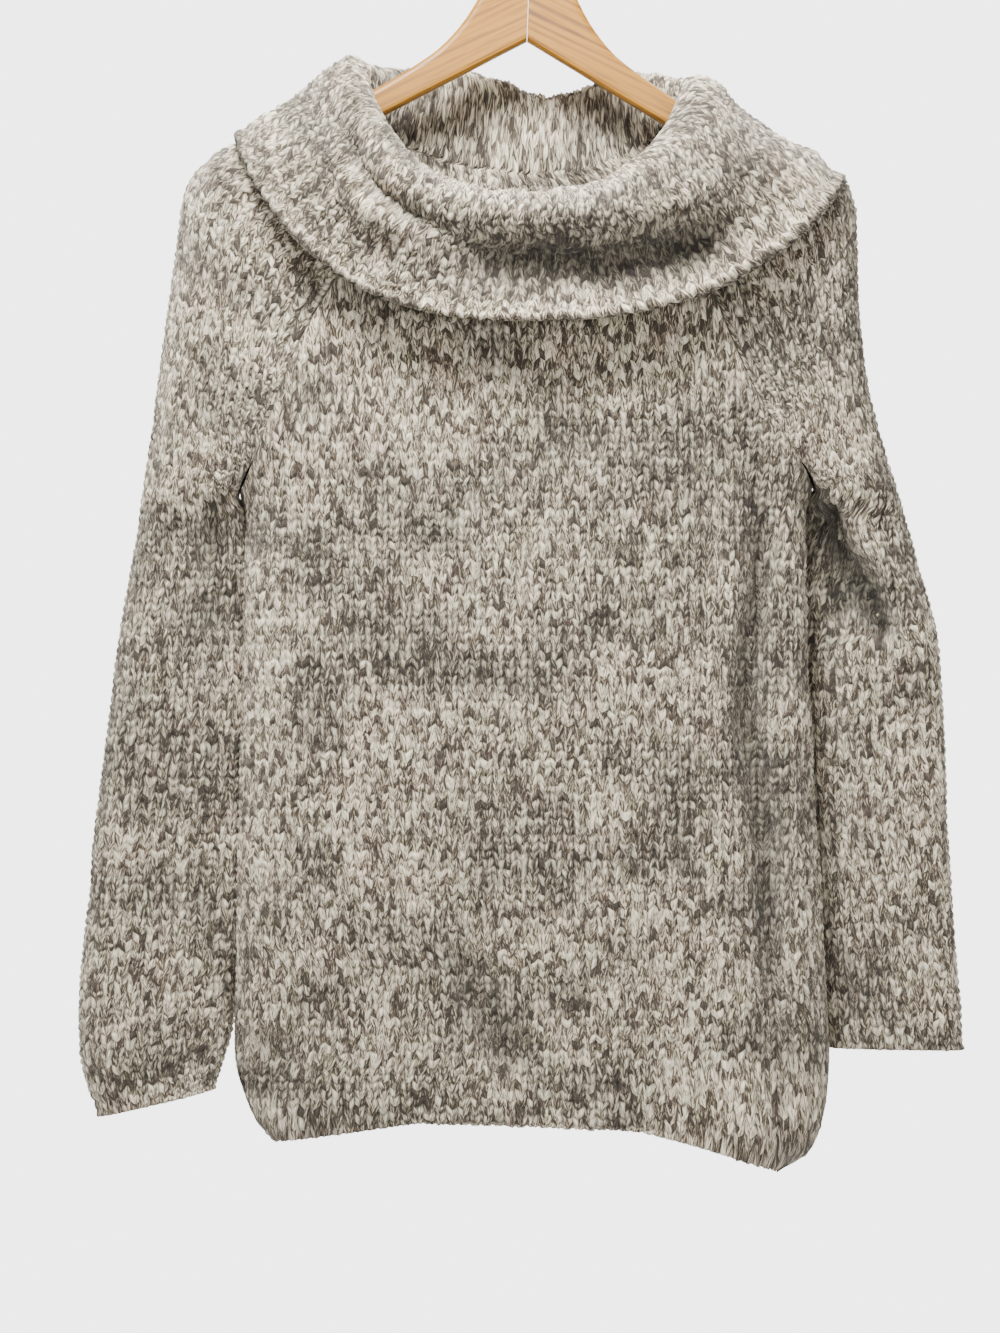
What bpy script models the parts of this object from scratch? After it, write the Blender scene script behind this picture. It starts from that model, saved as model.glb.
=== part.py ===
"""Chunky marl knit sweater with a folded cowl collar, hanging on a tilted wooden hanger.

Front, back, both raglan sleeves and the collar are separate walls of thick knit that meet at
their seams. The hanger is two wooden arms, joined on its middle line, and a wire hook.

World frame: +Z up, the front faces -Y, and the origin is the inside top of the hook, where
the hanger rests on its rail. Tables and lengths are in millimetres. Table x runs from the
hanger's joint line, so it is moved by JOINT_X when a point is made.
"""
import math

import bmesh
import bpy
import numpy as np
from mathutils import Matrix, Vector

MM = 0.001

# Cloth
WALL = 4.5
SEAM_GAP = 0.3
REST_GAP = 0.8
COLLAR_SEAM_EASE = 1.6

# Hanger, in its own upright frame below the hook's resting point. The hook's stem stands in
# a bore that runs down from the top of the joint.
TILT = math.radians(2.0)
APEX_Z = -135.8
ARM_HALF_THICK = 6.0
ARM_ROUNDING = 4.0
TIP_REACH = 209.0
TIP_RADIUS = 8.0
HOOK_WIRE_R = 2.0
HOOK_LOOP_R = 20.0
STEM_DEPTH = 18.0
BORE_CLEARANCE = 0.3
JOINT_X = APEX_Z * math.sin(TILT)

# Upper edge of one arm: run from the middle line, height
ARM_TOP = (
    (0.2, -77.0),
    (12.0, -79.0),
    (22.0, -85.5),
    (29.0, -95.0),
    (35.0, -107.0),
    (43.0, -121.0),
    (52.0, -133.0),
    (62.0, -143.5),
    (73.0, -152.0),
    (90.0, -163.5),
    (118.0, -181.0),
    (TIP_REACH, -225.3),
)
# Lower edge of one arm
ARM_UNDER = (
    (0.2, APEX_Z),
    (102.0, -193.0),
    (TIP_REACH, -243.0),
)

# Depth of the garment in front of and behind the hanger, and how its edges round over
EDGE_POWER = 8.0
SLEEVE_POWER = 4.0
ARMPIT_ROUND = 45.0
FRONT_NECK_DROP = 32.0
BACK_NECK_DROP = 16.0
BACK_HEM_LIFT = 6.0

# Body from the hem to the armpits, a row for each level:
# left seam x, z, right seam x, z, front depth, back depth
BODY_ROWS = (
    (-175.0, -905.0, 175.0, -926.0, 20.0, 20.0),
    (-188.5, -893.0, 198.0, -912.0, 22.0, 21.0),
    (-198.5, -871.0, 208.5, -884.0, 24.0, 22.0),
    (-204.5, -846.0, 212.0, -846.0, 25.0, 23.0),
    (-204.5, -800.0, 210.0, -800.0, 27.0, 24.0),
    (-203.0, -730.0, 206.0, -730.0, 29.0, 26.0),
    (-201.0, -640.0, 200.5, -640.0, 30.0, 27.0),
    (-199.0, -550.0, 196.0, -550.0, 31.0, 28.0),
    (-198.0, -500.0, 195.0, -500.0, 32.0, 28.0),
    (-197.5, -470.0, 195.5, -467.0, 32.0, 28.0),
    (-201.0, -453.0, 200.0, -449.0, 32.0, 28.0),
)
# The hem's height over the straight line between its corners: share of the width, lift
HEM_LIFT = (
    (0.0, 0.0),
    (0.14, 10.0),
    (0.28, 20.0),
    (0.53, 23.0),
    (0.73, 23.5),
    (0.81, 18.0),
    (0.90, 10.5),
    (1.0, 0.0),
)

# Raglan yoke from the armpit to the neck, a row for each level:
# front seam x, z, back seam x, z, outer ridge x, z. The last three ridges lie on the hanger.
YOKE_LEFT = (
    (-201.0, -453.0, -201.0, -453.0, -269.5, -453.0),
    (-195.0, -441.0, -195.0, -440.0, -265.0, -425.0),
    (-183.0, -412.0, -181.0, -408.0, -257.0, -372.0),
    (-167.0, -368.0, -162.0, -360.0, -248.5, -305.0),
    (-152.0, -337.0, -147.0, -327.0, -244.0, -268.0),
    (-142.0, -320.0, -138.0, -305.0, -239.5, -243.0),
    (-133.0, -305.0, -130.0, -286.0, -230.0, -224.5),
    (-124.0, -290.0, -121.0, -266.0, 0.0, 0.0),
    (-113.0, -274.0, -111.0, -244.0, 0.0, 0.0),
    (-103.0, -258.0, -100.0, -222.0, 0.0, 0.0),
)
YOKE_RIGHT = (
    (200.0, -449.0, 200.0, -449.0, 259.0, -449.0),
    (194.0, -437.0, 195.0, -437.0, 250.0, -420.0),
    (178.0, -412.0, 181.0, -406.0, 239.0, -376.0),
    (157.0, -380.0, 162.0, -360.0, 232.5, -314.0),
    (143.0, -349.0, 147.0, -327.0, 231.5, -274.0),
    (134.0, -327.0, 138.0, -305.0, 230.0, -250.0),
    (127.0, -310.0, 130.0, -286.0, 221.5, -232.5),
    (120.0, -294.0, 121.0, -266.0, 0.0, 0.0),
    (112.0, -276.0, 111.0, -244.0, 0.0, 0.0),
    (104.0, -258.0, 100.0, -222.0, 0.0, 0.0),
)
RIDGE_RUNS_LEFT = (205.0, 164.0, 121.0)
RIDGE_RUNS_RIGHT = (205.0, 163.0, 114.0)
YOKE_FRONT_DEPTH = (26.0, 31.0)
YOKE_BACK_DEPTH = (26.0, 27.0)
NECK_FRONT_DEPTH = 31.0
NECK_BACK_DEPTH = 27.0

# Sleeves from the armpit to the cuff, a row for each section:
# inner edge x, y, z, outer edge x, y, z, half depth
SLEEVE_LEFT = (
    (-201.0, 0.0, -453.0, -269.5, 0.0, -453.0, 26.0),
    (-199.5, 8.0, -470.0, -272.0, 0.0, -470.0, 25.0),
    (-197.5, 16.0, -500.0, -277.0, 1.0, -500.0, 24.0),
    (-197.5, 19.0, -560.0, -287.0, 3.0, -560.0, 23.0),
    (-199.5, 18.0, -640.0, -298.0, 5.0, -640.0, 23.0),
    (-201.5, 18.0, -720.0, -306.5, 7.0, -720.0, 22.0),
    (-203.5, 17.0, -790.0, -313.5, 9.0, -790.0, 21.0),
    (-207.0, 16.0, -826.0, -315.0, 10.0, -830.0, 20.0),
    (-214.0, 15.0, -850.0, -312.0, 11.0, -858.0, 19.0),
    (-219.5, 14.0, -870.0, -300.5, 12.0, -889.0, 17.0),
)
SLEEVE_RIGHT = (
    (200.0, 0.0, -449.0, 259.0, 0.0, -449.0, 26.0),
    (197.0, 12.0, -467.0, 264.0, 0.0, -466.0, 25.0),
    (193.0, 23.0, -500.0, 273.0, 1.0, -498.0, 23.0),
    (191.5, 30.0, -560.0, 288.0, 2.0, -556.0, 22.0),
    (194.0, 32.0, -640.0, 293.0, 4.0, -636.0, 21.0),
    (198.0, 33.0, -720.0, 296.5, 6.0, -716.0, 20.0),
    (202.0, 33.0, -780.0, 301.5, 8.0, -778.0, 19.0),
    (204.0, 32.0, -815.0, 304.5, 9.0, -816.0, 18.0),
    (207.0, 32.0, -842.0, 307.0, 10.0, -842.0, 17.0),
)

# Cowl collar from the neck seam over the fold to the free edge, a row for each ring through
# the middle of the wall: reach left, right, front, back, height front, left, right, back,
# and how far the ring dips behind the hanger's neck
COLLAR_RINGS = (
    (121.0, 112.0, 29.0, 27.0, -276.0, -168.0, -171.0, -222.0, 2.0),
    (118.0, 111.0, 28.0, 29.0, -262.0, -159.0, -168.0, -192.0, 6.0),
    (116.0, 112.0, 32.0, 33.0, -252.0, -151.5, -164.0, -159.0, 15.0),
    (123.0, 121.0, 45.0, 39.0, -248.5, -148.5, -163.0, -152.0, 18.0),
    (133.0, 134.0, 60.0, 47.0, -254.0, -154.5, -169.0, -159.0, 15.0),
    (146.0, 144.0, 69.0, 52.0, -268.0, -165.0, -182.0, -186.0, 8.0),
    (159.0, 162.0, 68.0, 54.0, -287.0, -175.0, -196.0, -218.0, 3.0),
    (177.0, 184.0, 60.0, 54.0, -309.0, -187.0, -209.0, -247.0, 0.0),
    (193.0, 207.0, 55.0, 52.0, -326.0, -196.0, -219.0, -272.0, 0.0),
    (204.0, 223.0, 56.0, 51.0, -337.0, -204.0, -230.0, -288.0, 0.0),
)
RING_SQUARE_X = 0.8
RING_SQUARE_Y = 0.42
RING_DROP_POWER = 1.5
BACK_DIP_X = 16.0
BACK_DIP_WIDTH = 36.0

# Hook path in the upright frame, each point's run and drop below the bottom of the loop
HOOK_NECK = ((0.0, 14.0), (1.2, 8.5), (4.6, 3.5))
HOOK_LOOP_FROM = math.radians(-52.0)
HOOK_LOOP_TO = math.radians(196.0)
HOOK_LOOP_STEPS = 18
HOOK_STEM_CLEARANCE = 0.5

# Mesh steps
BODY_COLUMNS = 18
SLEEVE_COLUMNS = 7
ROWS_PER_BODY_ROW = 1
ROWS_PER_YOKE_ROW = 1
ROWS_PER_SLEEVE_ROW = 1
EDGE_CROWDING = 0.75
HEM_ROWS = 5
TIP_STEPS = 6
BORE_SIDES = 16
EDGE_BEVEL_STEPS = 3
WELD = 0.000001
CLOTH_SHARP = math.radians(50.0)
BOARD_SHARP = math.radians(80.0)


def clear_scene():
    """Remove the objects that Blender starts with."""
    for item in list(bpy.data.objects):
        bpy.data.objects.remove(item, do_unlink=True)


def make_material(name, colour, roughness, metallic=0.0):
    """A plain Principled finish."""
    finish = bpy.data.materials.new(name)
    finish.use_nodes = True
    shader = finish.node_tree.nodes["Principled BSDF"]
    shader.inputs["Base Color"].default_value = (*colour, 1.0)
    shader.inputs["Roughness"].default_value = roughness
    shader.inputs["Metallic"].default_value = metallic
    return finish


def table_at(table, steps):
    """Rows of a table at the given fractional row numbers, on a smooth curve through them."""
    rows = np.array(table, dtype=float)
    rows = np.vstack([2 * rows[0] - rows[1], rows, 2 * rows[-1] - rows[-2]])
    found = []
    for step in steps:
        first = min(int(step), len(table) - 2)
        t = step - first
        before, start, end, after = rows[first:first + 4]
        found.append(0.5 * (
            2 * start
            + (end - before) * t
            + (2 * before - 5 * start + 4 * end - after) * t ** 2
            + (3 * start - before - 3 * end + after) * t ** 3
        ))
    return np.array(found)


def steps_through(table, parts):
    """Fractional row numbers that cut each interval of a table into equal parts."""
    return np.linspace(0.0, len(table) - 1, (len(table) - 1) * parts + 1)


def crowded(count):
    """Shares from 0 to 1 that lie closer together near both ends."""
    even = np.linspace(0.0, 1.0, count + 1)
    eased = (1 - np.cos(np.pi * even)) / 2
    return EDGE_CROWDING * eased + (1 - EDGE_CROWDING) * even


def rounded(share, power):
    """Height of a flattened tube over its middle plane, 0 at both edges and 1 between."""
    return np.sqrt(np.clip(1 - np.abs(2 * share - 1) ** power, 0.0, 1.0))


def tilted(x, z):
    """A point of the upright hanger, turned with the tilt of the hanger."""
    return (
        x * math.cos(TILT) + z * math.sin(TILT),
        z * math.cos(TILT) - x * math.sin(TILT),
    )


def arm_top(run):
    """Height of the arm's upper edge at a distance from the middle line."""
    runs, heights = np.array(ARM_TOP).T
    return float(np.interp(run, runs, heights))


def ridge_on_arm(side, run):
    """Where the outside of the cloth lies over the arm, as table x and z."""
    (run_a, z_a), (run_b, z_b) = ARM_TOP[-2:]
    slope = math.atan2(z_a - z_b, run_b - run_a)
    lift = (WALL + REST_GAP) / math.cos(slope)
    x, z = tilted(side * run, arm_top(run) + lift)
    return x - JOINT_X, z


def yoke_table(rows, side, runs):
    """The yoke's rows with the last three ridges laid on the hanger."""
    table = np.array(rows)
    for row, run in zip(range(len(rows) - 3, len(rows)), runs):
        table[row, 4:6] = ridge_on_arm(side, run)
    return table


def seam_depth(height, armpit_height, depth):
    """Depth of a raglan seam, which starts at nothing at the armpit and rounds out."""
    rise = np.clip((height - armpit_height) / ARMPIT_ROUND, 0.0, 1.0)
    return depth * math.sqrt(max(0.0, 1 - (1 - rise) ** 2))


def panel_row(start, end, seam_depths, depth, facing, lift, shares):
    """One row of a body panel, from its left seam to its right seam."""
    x = start[0] + (end[0] - start[0]) * shares
    z = start[1] + (end[1] - start[1]) * shares + lift
    at_seam = seam_depths[0] + (seam_depths[1] - seam_depths[0]) * shares
    y = np.sqrt(at_seam ** 2 + (depth ** 2 - at_seam ** 2) * rounded(shares, EDGE_POWER) ** 2)
    return np.stack([x, facing * y, z], axis=1)


def body_panel(facing, neck_drop, neck_depth, hem_extra):
    """Points of the front (facing -1) or the back (facing 1), hem to neck, left to right."""
    shares = crowded(BODY_COLUMNS)
    hem_shares, hem_lifts = np.array(HEM_LIFT).T
    hem_lift = np.interp(shares, hem_shares, hem_lifts) + hem_extra * rounded(shares, 2.0)
    depth_column = 4 if facing < 0 else 5
    points = []
    steps = steps_through(BODY_ROWS, ROWS_PER_BODY_ROW)
    for step, row in zip(steps, table_at(BODY_ROWS, steps)):
        fade = max(0.0, 1 - step / HEM_ROWS) ** 2
        points.append(panel_row(
            row[0:2], row[2:4], (0.0, 0.0), row[depth_column], facing, hem_lift * fade, shares,
        ))
    armpit_depth = BODY_ROWS[-1][depth_column]
    seam = slice(0, 2) if facing < 0 else slice(2, 4)
    steps = steps_through(YOKE_LEFT, ROWS_PER_YOKE_ROW)[1:]
    left = table_at(yoke_table(YOKE_LEFT, -1, RIDGE_RUNS_LEFT), steps)[:, seam]
    right = table_at(yoke_table(YOKE_RIGHT, 1, RIDGE_RUNS_RIGHT), steps)[:, seam]
    for step, start, end in zip(steps, left, right):
        level = step / (len(YOKE_LEFT) - 1)
        depth = armpit_depth + (neck_depth - armpit_depth) * level
        seam_depths = (
            seam_depth(start[1], YOKE_LEFT[0][1], depth),
            seam_depth(end[1], YOKE_RIGHT[0][1], depth),
        )
        drop = -neck_drop * level ** 2 * rounded(shares, 2.0) ** 2
        points.append(panel_row(start, end, seam_depths, depth, facing, drop, shares))
    points = np.array(points)
    return points if facing < 0 else points[:, ::-1]


def half_section(inner, outer, seam_y, depth, facing, shares):
    """Half of a sleeve section, from its seam or inner edge out to its outer edge."""
    x = inner[0] + (outer[0] - inner[0]) * shares
    z = inner[2] + (outer[2] - inner[2]) * shares
    middle = inner[1] + (outer[1] - inner[1]) * shares
    full = rounded(shares, SLEEVE_POWER)
    over_seam = np.sqrt(seam_y ** 2 + (depth ** 2 - seam_y ** 2) * full ** 2)
    y = np.where(shares < 0.5, over_seam, depth * full)
    return np.stack([x, middle + facing * y, z], axis=1)


def sleeve_panel(side):
    """Points of a sleeve, cuff to neck, and the number of rows that close on themselves."""
    yoke = yoke_table(*(
        (YOKE_LEFT, -1, RIDGE_RUNS_LEFT) if side < 0 else (YOKE_RIGHT, 1, RIDGE_RUNS_RIGHT)
    ))
    tube = SLEEVE_LEFT if side < 0 else SLEEVE_RIGHT
    shares = crowded(2 * SLEEVE_COLUMNS)
    points = []
    for row in table_at(tube, steps_through(tube, ROWS_PER_SLEEVE_ROW))[::-1]:
        halves = [
            half_section(row[0:3], row[3:6], 0.0, row[6], facing, shares)
            for facing in (-1, 1)
        ]
        points.append(np.vstack([halves[0], halves[1][-2::-1]]))
    closed_rows = len(points)
    steps = steps_through(YOKE_LEFT, ROWS_PER_YOKE_ROW)[1:]
    for step, row in zip(steps, table_at(yoke, steps)):
        level = step / (len(YOKE_LEFT) - 1)
        outer = (row[4], 0.0, row[5])
        halves = []
        for facing, seam, depths, body_depth, neck_depth in (
            (-1, row[0:2], YOKE_FRONT_DEPTH, BODY_ROWS[-1][4], NECK_FRONT_DEPTH),
            (1, row[2:4], YOKE_BACK_DEPTH, BODY_ROWS[-1][5], NECK_BACK_DEPTH),
        ):
            seam_y = seam_depth(seam[1], yoke[0][1], body_depth + (neck_depth - body_depth) * level)
            depth = depths[0] + (depths[1] - depths[0]) * min(1.0, 2 * level)
            inner = (seam[0], 0.0, seam[1])
            halves.append(half_section(inner, outer, seam_y, depth, facing, shares))
        points.append(np.vstack([halves[0], halves[1][-2::-1]]))
    points = np.array(points)
    return (points if side > 0 else points[:, ::-1]), closed_rows


def grid_normals(points):
    """Unit normals of a grid of points, rows up and columns from left to right as seen."""
    along = np.gradient(points, axis=1)
    up = np.gradient(points, axis=0)
    normals = np.cross(along, up)
    return normals / np.linalg.norm(normals, axis=2, keepdims=True)


def share_normals(panels, armpits):
    """Give the points that panels have in common one normal, so that their edges stay parallel."""
    totals = {}
    for points, normals in panels:
        for point, normal in zip(points.reshape(-1, 3), normals.reshape(-1, 3)):
            key = tuple(np.round(point, 3))
            totals[key] = totals.get(key, np.zeros(3)) + normal
    for armpit in armpits:
        totals[tuple(np.round(armpit, 3))] = np.array((0.0, 0.0, -1.0))
    for points, normals in panels:
        for place in np.ndindex(points.shape[:2]):
            total = totals[tuple(np.round(points[place], 3))]
            normals[place] = total / np.linalg.norm(total)


def seam_shift(line, normals, inwards):
    """Half the seam gap, across a seam line, towards the inside of its panel."""
    run = np.gradient(line, axis=0)
    across = np.cross(normals, run)
    across /= np.linalg.norm(across, axis=1, keepdims=True)
    return inwards * across * SEAM_GAP / 2


def wall_object(name, side_a, side_b, finish, collection, closed_rows=0):
    """A closed wall between two grids of points. The first closed_rows rows are rings."""
    shape = bmesh.new()
    rows, columns = side_a.shape[:2]
    grids = []
    for grid in (side_a, side_b):
        placed = grid + np.array((JOINT_X, 0.0, 0.0))
        grids.append([
            [shape.verts.new(Vector(point) * MM) for point in row] for row in placed
        ])
    out, inside = grids
    for i in range(rows - 1):
        for j in range(columns - 1):
            shape.faces.new((out[i][j], out[i][j + 1], out[i + 1][j + 1], out[i + 1][j]))
            shape.faces.new((inside[i][j], inside[i + 1][j], inside[i + 1][j + 1], inside[i][j + 1]))
    edges = [(out[0], inside[0], 0, True), (out[-1], inside[-1], 0, False)]
    first = max(0, closed_rows - 1)
    for column, backwards in ((0, False), (-1, True)):
        edges.append((
            [row[column] for row in out], [row[column] for row in inside], first, backwards,
        ))
    for outer, inner, start, backwards in edges:
        for i in range(start, len(outer) - 1):
            for corners in (
                (outer[i], outer[i + 1], inner[i + 1]), (outer[i], inner[i + 1], inner[i]),
            ):
                shape.faces.new(corners[::-1] if backwards else corners)
    bmesh.ops.remove_doubles(shape, verts=shape.verts, dist=WELD)
    mesh = bpy.data.meshes.new(name)
    shape.to_mesh(mesh)
    shape.free()
    mesh.shade_smooth()
    mesh.set_sharp_from_angle(angle=CLOTH_SHARP)
    mesh.materials.append(finish)
    made = bpy.data.objects.new(name, mesh)
    collection.objects.link(made)
    return made


def make_body(finish, collection):
    """Front, back and both sleeves. Returns the neck seam as outer points and normals."""
    front = body_panel(-1, FRONT_NECK_DROP, NECK_FRONT_DEPTH, 0.0)
    back = body_panel(1, BACK_NECK_DROP, NECK_BACK_DEPTH, BACK_HEM_LIFT)
    right, right_closed = sleeve_panel(1)
    left, left_closed = sleeve_panel(-1)
    grids = {"front": front, "sleeve_right": right, "back": back, "sleeve_left": left}
    normals = {name: grid_normals(grid) for name, grid in grids.items()}
    armpits = [(row[0], 0.0, row[1]) for row in (YOKE_LEFT[0], YOKE_RIGHT[0])]
    share_normals([(grids[name], normals[name]) for name in grids], armpits)
    armpit_row = {
        "front": (len(BODY_ROWS) - 1) * ROWS_PER_BODY_ROW,
        "back": (len(BODY_ROWS) - 1) * ROWS_PER_BODY_ROW,
        "sleeve_right": right_closed - 1,
        "sleeve_left": left_closed - 1,
    }
    neck_points = []
    neck_normals = []
    for name, grid in grids.items():
        normal = normals[name]
        neck_points.append(grid[-1])
        neck_normals.append(normal[-1])
        shift = np.zeros_like(grid)
        first = armpit_row[name] if name.startswith("sleeve") else 0
        shift[first:, 0] += seam_shift(grid[first:, 0], normal[first:, 0], -1)
        shift[first:, -1] += seam_shift(grid[first:, -1], normal[first:, -1], 1)
        shift[-1] += seam_shift(grid[-1], normal[-1], -1)
        for column in (0, -1):
            at = grid[armpit_row[name], column]
            away = 1 if name.startswith("sleeve") else -1
            facing = {"front": -1, "back": 1}.get(name, 0)
            shift[armpit_row[name], column] = (
                away * np.sign(at[0]) * SEAM_GAP / 2, facing * SEAM_GAP / 2, 0.0,
            )
        outside = grid + shift
        closed = armpit_row[name] + 1 if name.startswith("sleeve") else 0
        wall_object(name, outside, outside - WALL * normal, finish, collection, closed)
    return neck_points, neck_normals


def collar_ring(row, angles):
    """Points of one collar ring at angles from the right side (0) by the front (-90 degrees)."""
    left, right, front, back, z_front, z_left, z_right, z_back, dip = row
    across = np.cos(angles)
    deep = np.sin(angles)
    x = np.where(across > 0, right, left) * np.sign(across) * np.abs(across) ** RING_SQUARE_X
    y = np.where(deep > 0, back, front) * np.sign(deep) * np.abs(deep) ** RING_SQUARE_Y
    side = z_left + (z_right - z_left) * (1 + across) / 2
    middle = np.where(deep > 0, z_back, z_front)
    z = side + (middle - side) * np.abs(deep) ** RING_DROP_POWER
    z = z - np.where(deep > 0, dip, 0.0) * np.exp(-((x - BACK_DIP_X) / BACK_DIP_WIDTH) ** 2)
    return np.stack([x, y, z], axis=1)


def make_collar(neck_points, neck_normals, finish, collection):
    """The cowl: a ring of knit from the neck seam up, out over its fold and down."""
    points = np.vstack([line[:-1] for line in neck_points])
    normals = np.vstack([line[:-1] for line in neck_normals])
    reach = np.where(points[:, 0] > 0, points[:, 0].max(), -points[:, 0].min())
    depth = np.where(points[:, 1] > 0, points[:, 1].max(), -points[:, 1].min())
    across = np.clip(np.abs(points[:, 0]) / reach, 0, 1) ** (1 / RING_SQUARE_X)
    deep = np.clip(np.abs(points[:, 1]) / depth, 0, 1) ** (1 / RING_SQUARE_Y)
    angles = np.arctan2(np.sign(points[:, 1]) * deep, np.sign(points[:, 0]) * across)
    seam = points - normals * WALL / 2
    rings = [seam] + [collar_ring(row, angles) for row in COLLAR_RINGS]
    grid = np.array([np.vstack([ring, ring[:1]]) for ring in rings])
    normal = grid_normals(np.concatenate([grid[:, -2:-1], grid, grid[:, 1:2]], axis=1))[:, 1:-1]
    normal[0] = np.vstack([normals, normals[:1]])
    shift = np.zeros_like(grid)
    run = np.vstack([seam[-1:], seam, seam[:1], seam[1:2]])
    around = np.vstack([normals[-1:], normals, normals[:1], normals[1:2]])
    shift[0] = seam_shift(run, around, 1)[1:-1] * COLLAR_SEAM_EASE
    grid = grid + shift
    wall_object(
        "cowl_collar", grid + normal * WALL / 2, grid - normal * WALL / 2, finish, collection,
        closed_rows=len(grid),
    )


def hanger_outline():
    """Outline of the whole hanger in its upright frame, counter-clockwise from the apex."""
    under = [(x, z) for x, z in ARM_UNDER[1:-1]]
    slope = math.atan2(ARM_TOP[-2][1] - ARM_TOP[-1][1], ARM_TOP[-1][0] - ARM_TOP[-2][0])
    centre_x = TIP_REACH - TIP_RADIUS
    centre_z = arm_top(centre_x) - TIP_RADIUS / math.cos(slope)
    first = -math.pi / 2 - slope
    last = math.pi / 2 - slope
    tip = [
        (centre_x + TIP_RADIUS * math.cos(a), centre_z + TIP_RADIUS * math.sin(a))
        for a in np.linspace(first, last, TIP_STEPS + 1)
    ]
    top = table_at(ARM_TOP[1:-1], steps_through(ARM_TOP[1:-1], 2))[::-1]
    half = under + tip + [(x, z) for x, z in top]
    mirrored = [(-x, z) for x, z in reversed(half)]
    return [(0.0, APEX_Z)] + half + [(0.0, ARM_TOP[0][1])] + mirrored


def curve_to_mesh(made):
    """Replace a curve object by a welded mesh with the same name and place."""
    name = made.name
    evaluated = made.evaluated_get(bpy.context.evaluated_depsgraph_get())
    mesh = bpy.data.meshes.new_from_object(evaluated)
    shape = bmesh.new()
    shape.from_mesh(mesh)
    bmesh.ops.remove_doubles(shape, verts=shape.verts, dist=WELD)
    bmesh.ops.transform(shape, matrix=made.matrix_world, verts=shape.verts)
    bmesh.ops.recalc_face_normals(shape, faces=shape.faces)
    shape.to_mesh(mesh)
    shape.free()
    bpy.data.objects.remove(made, do_unlink=True)
    return name, mesh


def make_hanger(wood, metal, collection, cutters):
    """Two wooden arms with a joint on the middle line, and the hook in its bore."""
    outline = bpy.data.curves.new("hanger_outline", "CURVE")
    outline.dimensions = "2D"
    outline.fill_mode = "BOTH"
    outline.extrude = ARM_HALF_THICK * MM
    points = hanger_outline()
    spline = outline.splines.new("POLY")
    spline.points.add(len(points) - 1)
    for point, (x, z) in zip(spline.points, points):
        point.co = (x * MM, z * MM, 0.0, 1.0)
    spline.use_cyclic_u = True
    board = bpy.data.objects.new("hanger_board", outline)
    collection.objects.link(board)
    board.rotation_euler = (math.pi / 2, 0.0, 0.0)
    bpy.context.view_layer.update()
    mesh = curve_to_mesh(board)[1]

    bpy.ops.mesh.primitive_cylinder_add(
        vertices=BORE_SIDES,
        radius=(HOOK_WIRE_R + BORE_CLEARANCE) * MM,
        depth=2 * (STEM_DEPTH + BORE_CLEARANCE) * MM,
        location=(0.0, 0.0, ARM_TOP[0][1] * MM),
    )
    bore = bpy.context.object
    bore.name = "hook_bore"
    bore.hide_render = True
    bore.display_type = "WIRE"
    for owner in list(bore.users_collection):
        owner.objects.unlink(bore)
    cutters.objects.link(bore)
    turn = Matrix.Rotation(TILT, 4, "Y")

    for name, side in (("hanger_arm_left", -1), ("hanger_arm_right", 1)):
        shape = bmesh.new()
        shape.from_mesh(mesh)
        rim = [edge for edge in shape.edges if edge.calc_face_angle(0.0) > BOARD_SHARP]
        bmesh.ops.bevel(
            shape, geom=rim, offset=ARM_ROUNDING * MM, segments=EDGE_BEVEL_STEPS, profile=0.5,
            affect="EDGES", clamp_overlap=False, material=-1,
        )
        everything = list(shape.verts) + list(shape.edges) + list(shape.faces)
        cut = bmesh.ops.bisect_plane(
            shape, geom=everything, plane_co=(side * SEAM_GAP / 2 * MM, 0.0, 0.0),
            plane_no=(side, 0.0, 0.0), clear_inner=True, dist=WELD / 10,
        )
        rim = [item for item in cut["geom_cut"] if isinstance(item, bmesh.types.BMEdge)]
        bmesh.ops.holes_fill(shape, edges=rim, sides=0)
        bmesh.ops.triangulate(shape, faces=shape.faces)
        bmesh.ops.recalc_face_normals(shape, faces=shape.faces)
        half = bpy.data.meshes.new(name)
        shape.to_mesh(half)
        shape.free()
        half.materials.append(wood)
        arm = bpy.data.objects.new(name, half)
        collection.objects.link(arm)
        arm.matrix_world = turn
        drill = arm.modifiers.new("hook_bore", "BOOLEAN")
        drill.operation = "DIFFERENCE"
        drill.object = bore
        drill.solver = "EXACT"
    bore.matrix_world = turn @ bore.matrix_world

    wire = bpy.data.curves.new("hanger_hook", "CURVE")
    wire.dimensions = "3D"
    wire.bevel_depth = HOOK_WIRE_R * MM
    wire.bevel_resolution = 2
    wire.use_fill_caps = True
    centre = HOOK_WIRE_R - HOOK_LOOP_R
    path = [(0.0, ARM_TOP[0][1] - STEM_DEPTH + HOOK_STEM_CLEARANCE)]
    path += [(run, centre - HOOK_LOOP_R - drop) for run, drop in HOOK_NECK]
    for angle in np.linspace(HOOK_LOOP_FROM, HOOK_LOOP_TO, HOOK_LOOP_STEPS + 1):
        path.append((HOOK_LOOP_R * math.cos(angle), centre + HOOK_LOOP_R * math.sin(angle)))
    spline = wire.splines.new("POLY")
    spline.points.add(len(path) - 1)
    for point, (x, z) in zip(spline.points, path):
        turned = tilted(x, z)
        point.co = (turned[0] * MM, 0.0, turned[1] * MM, 1.0)
    wire.materials.append(metal)
    hook = bpy.data.objects.new("hanger_hook", wire)
    collection.objects.link(hook)


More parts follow.
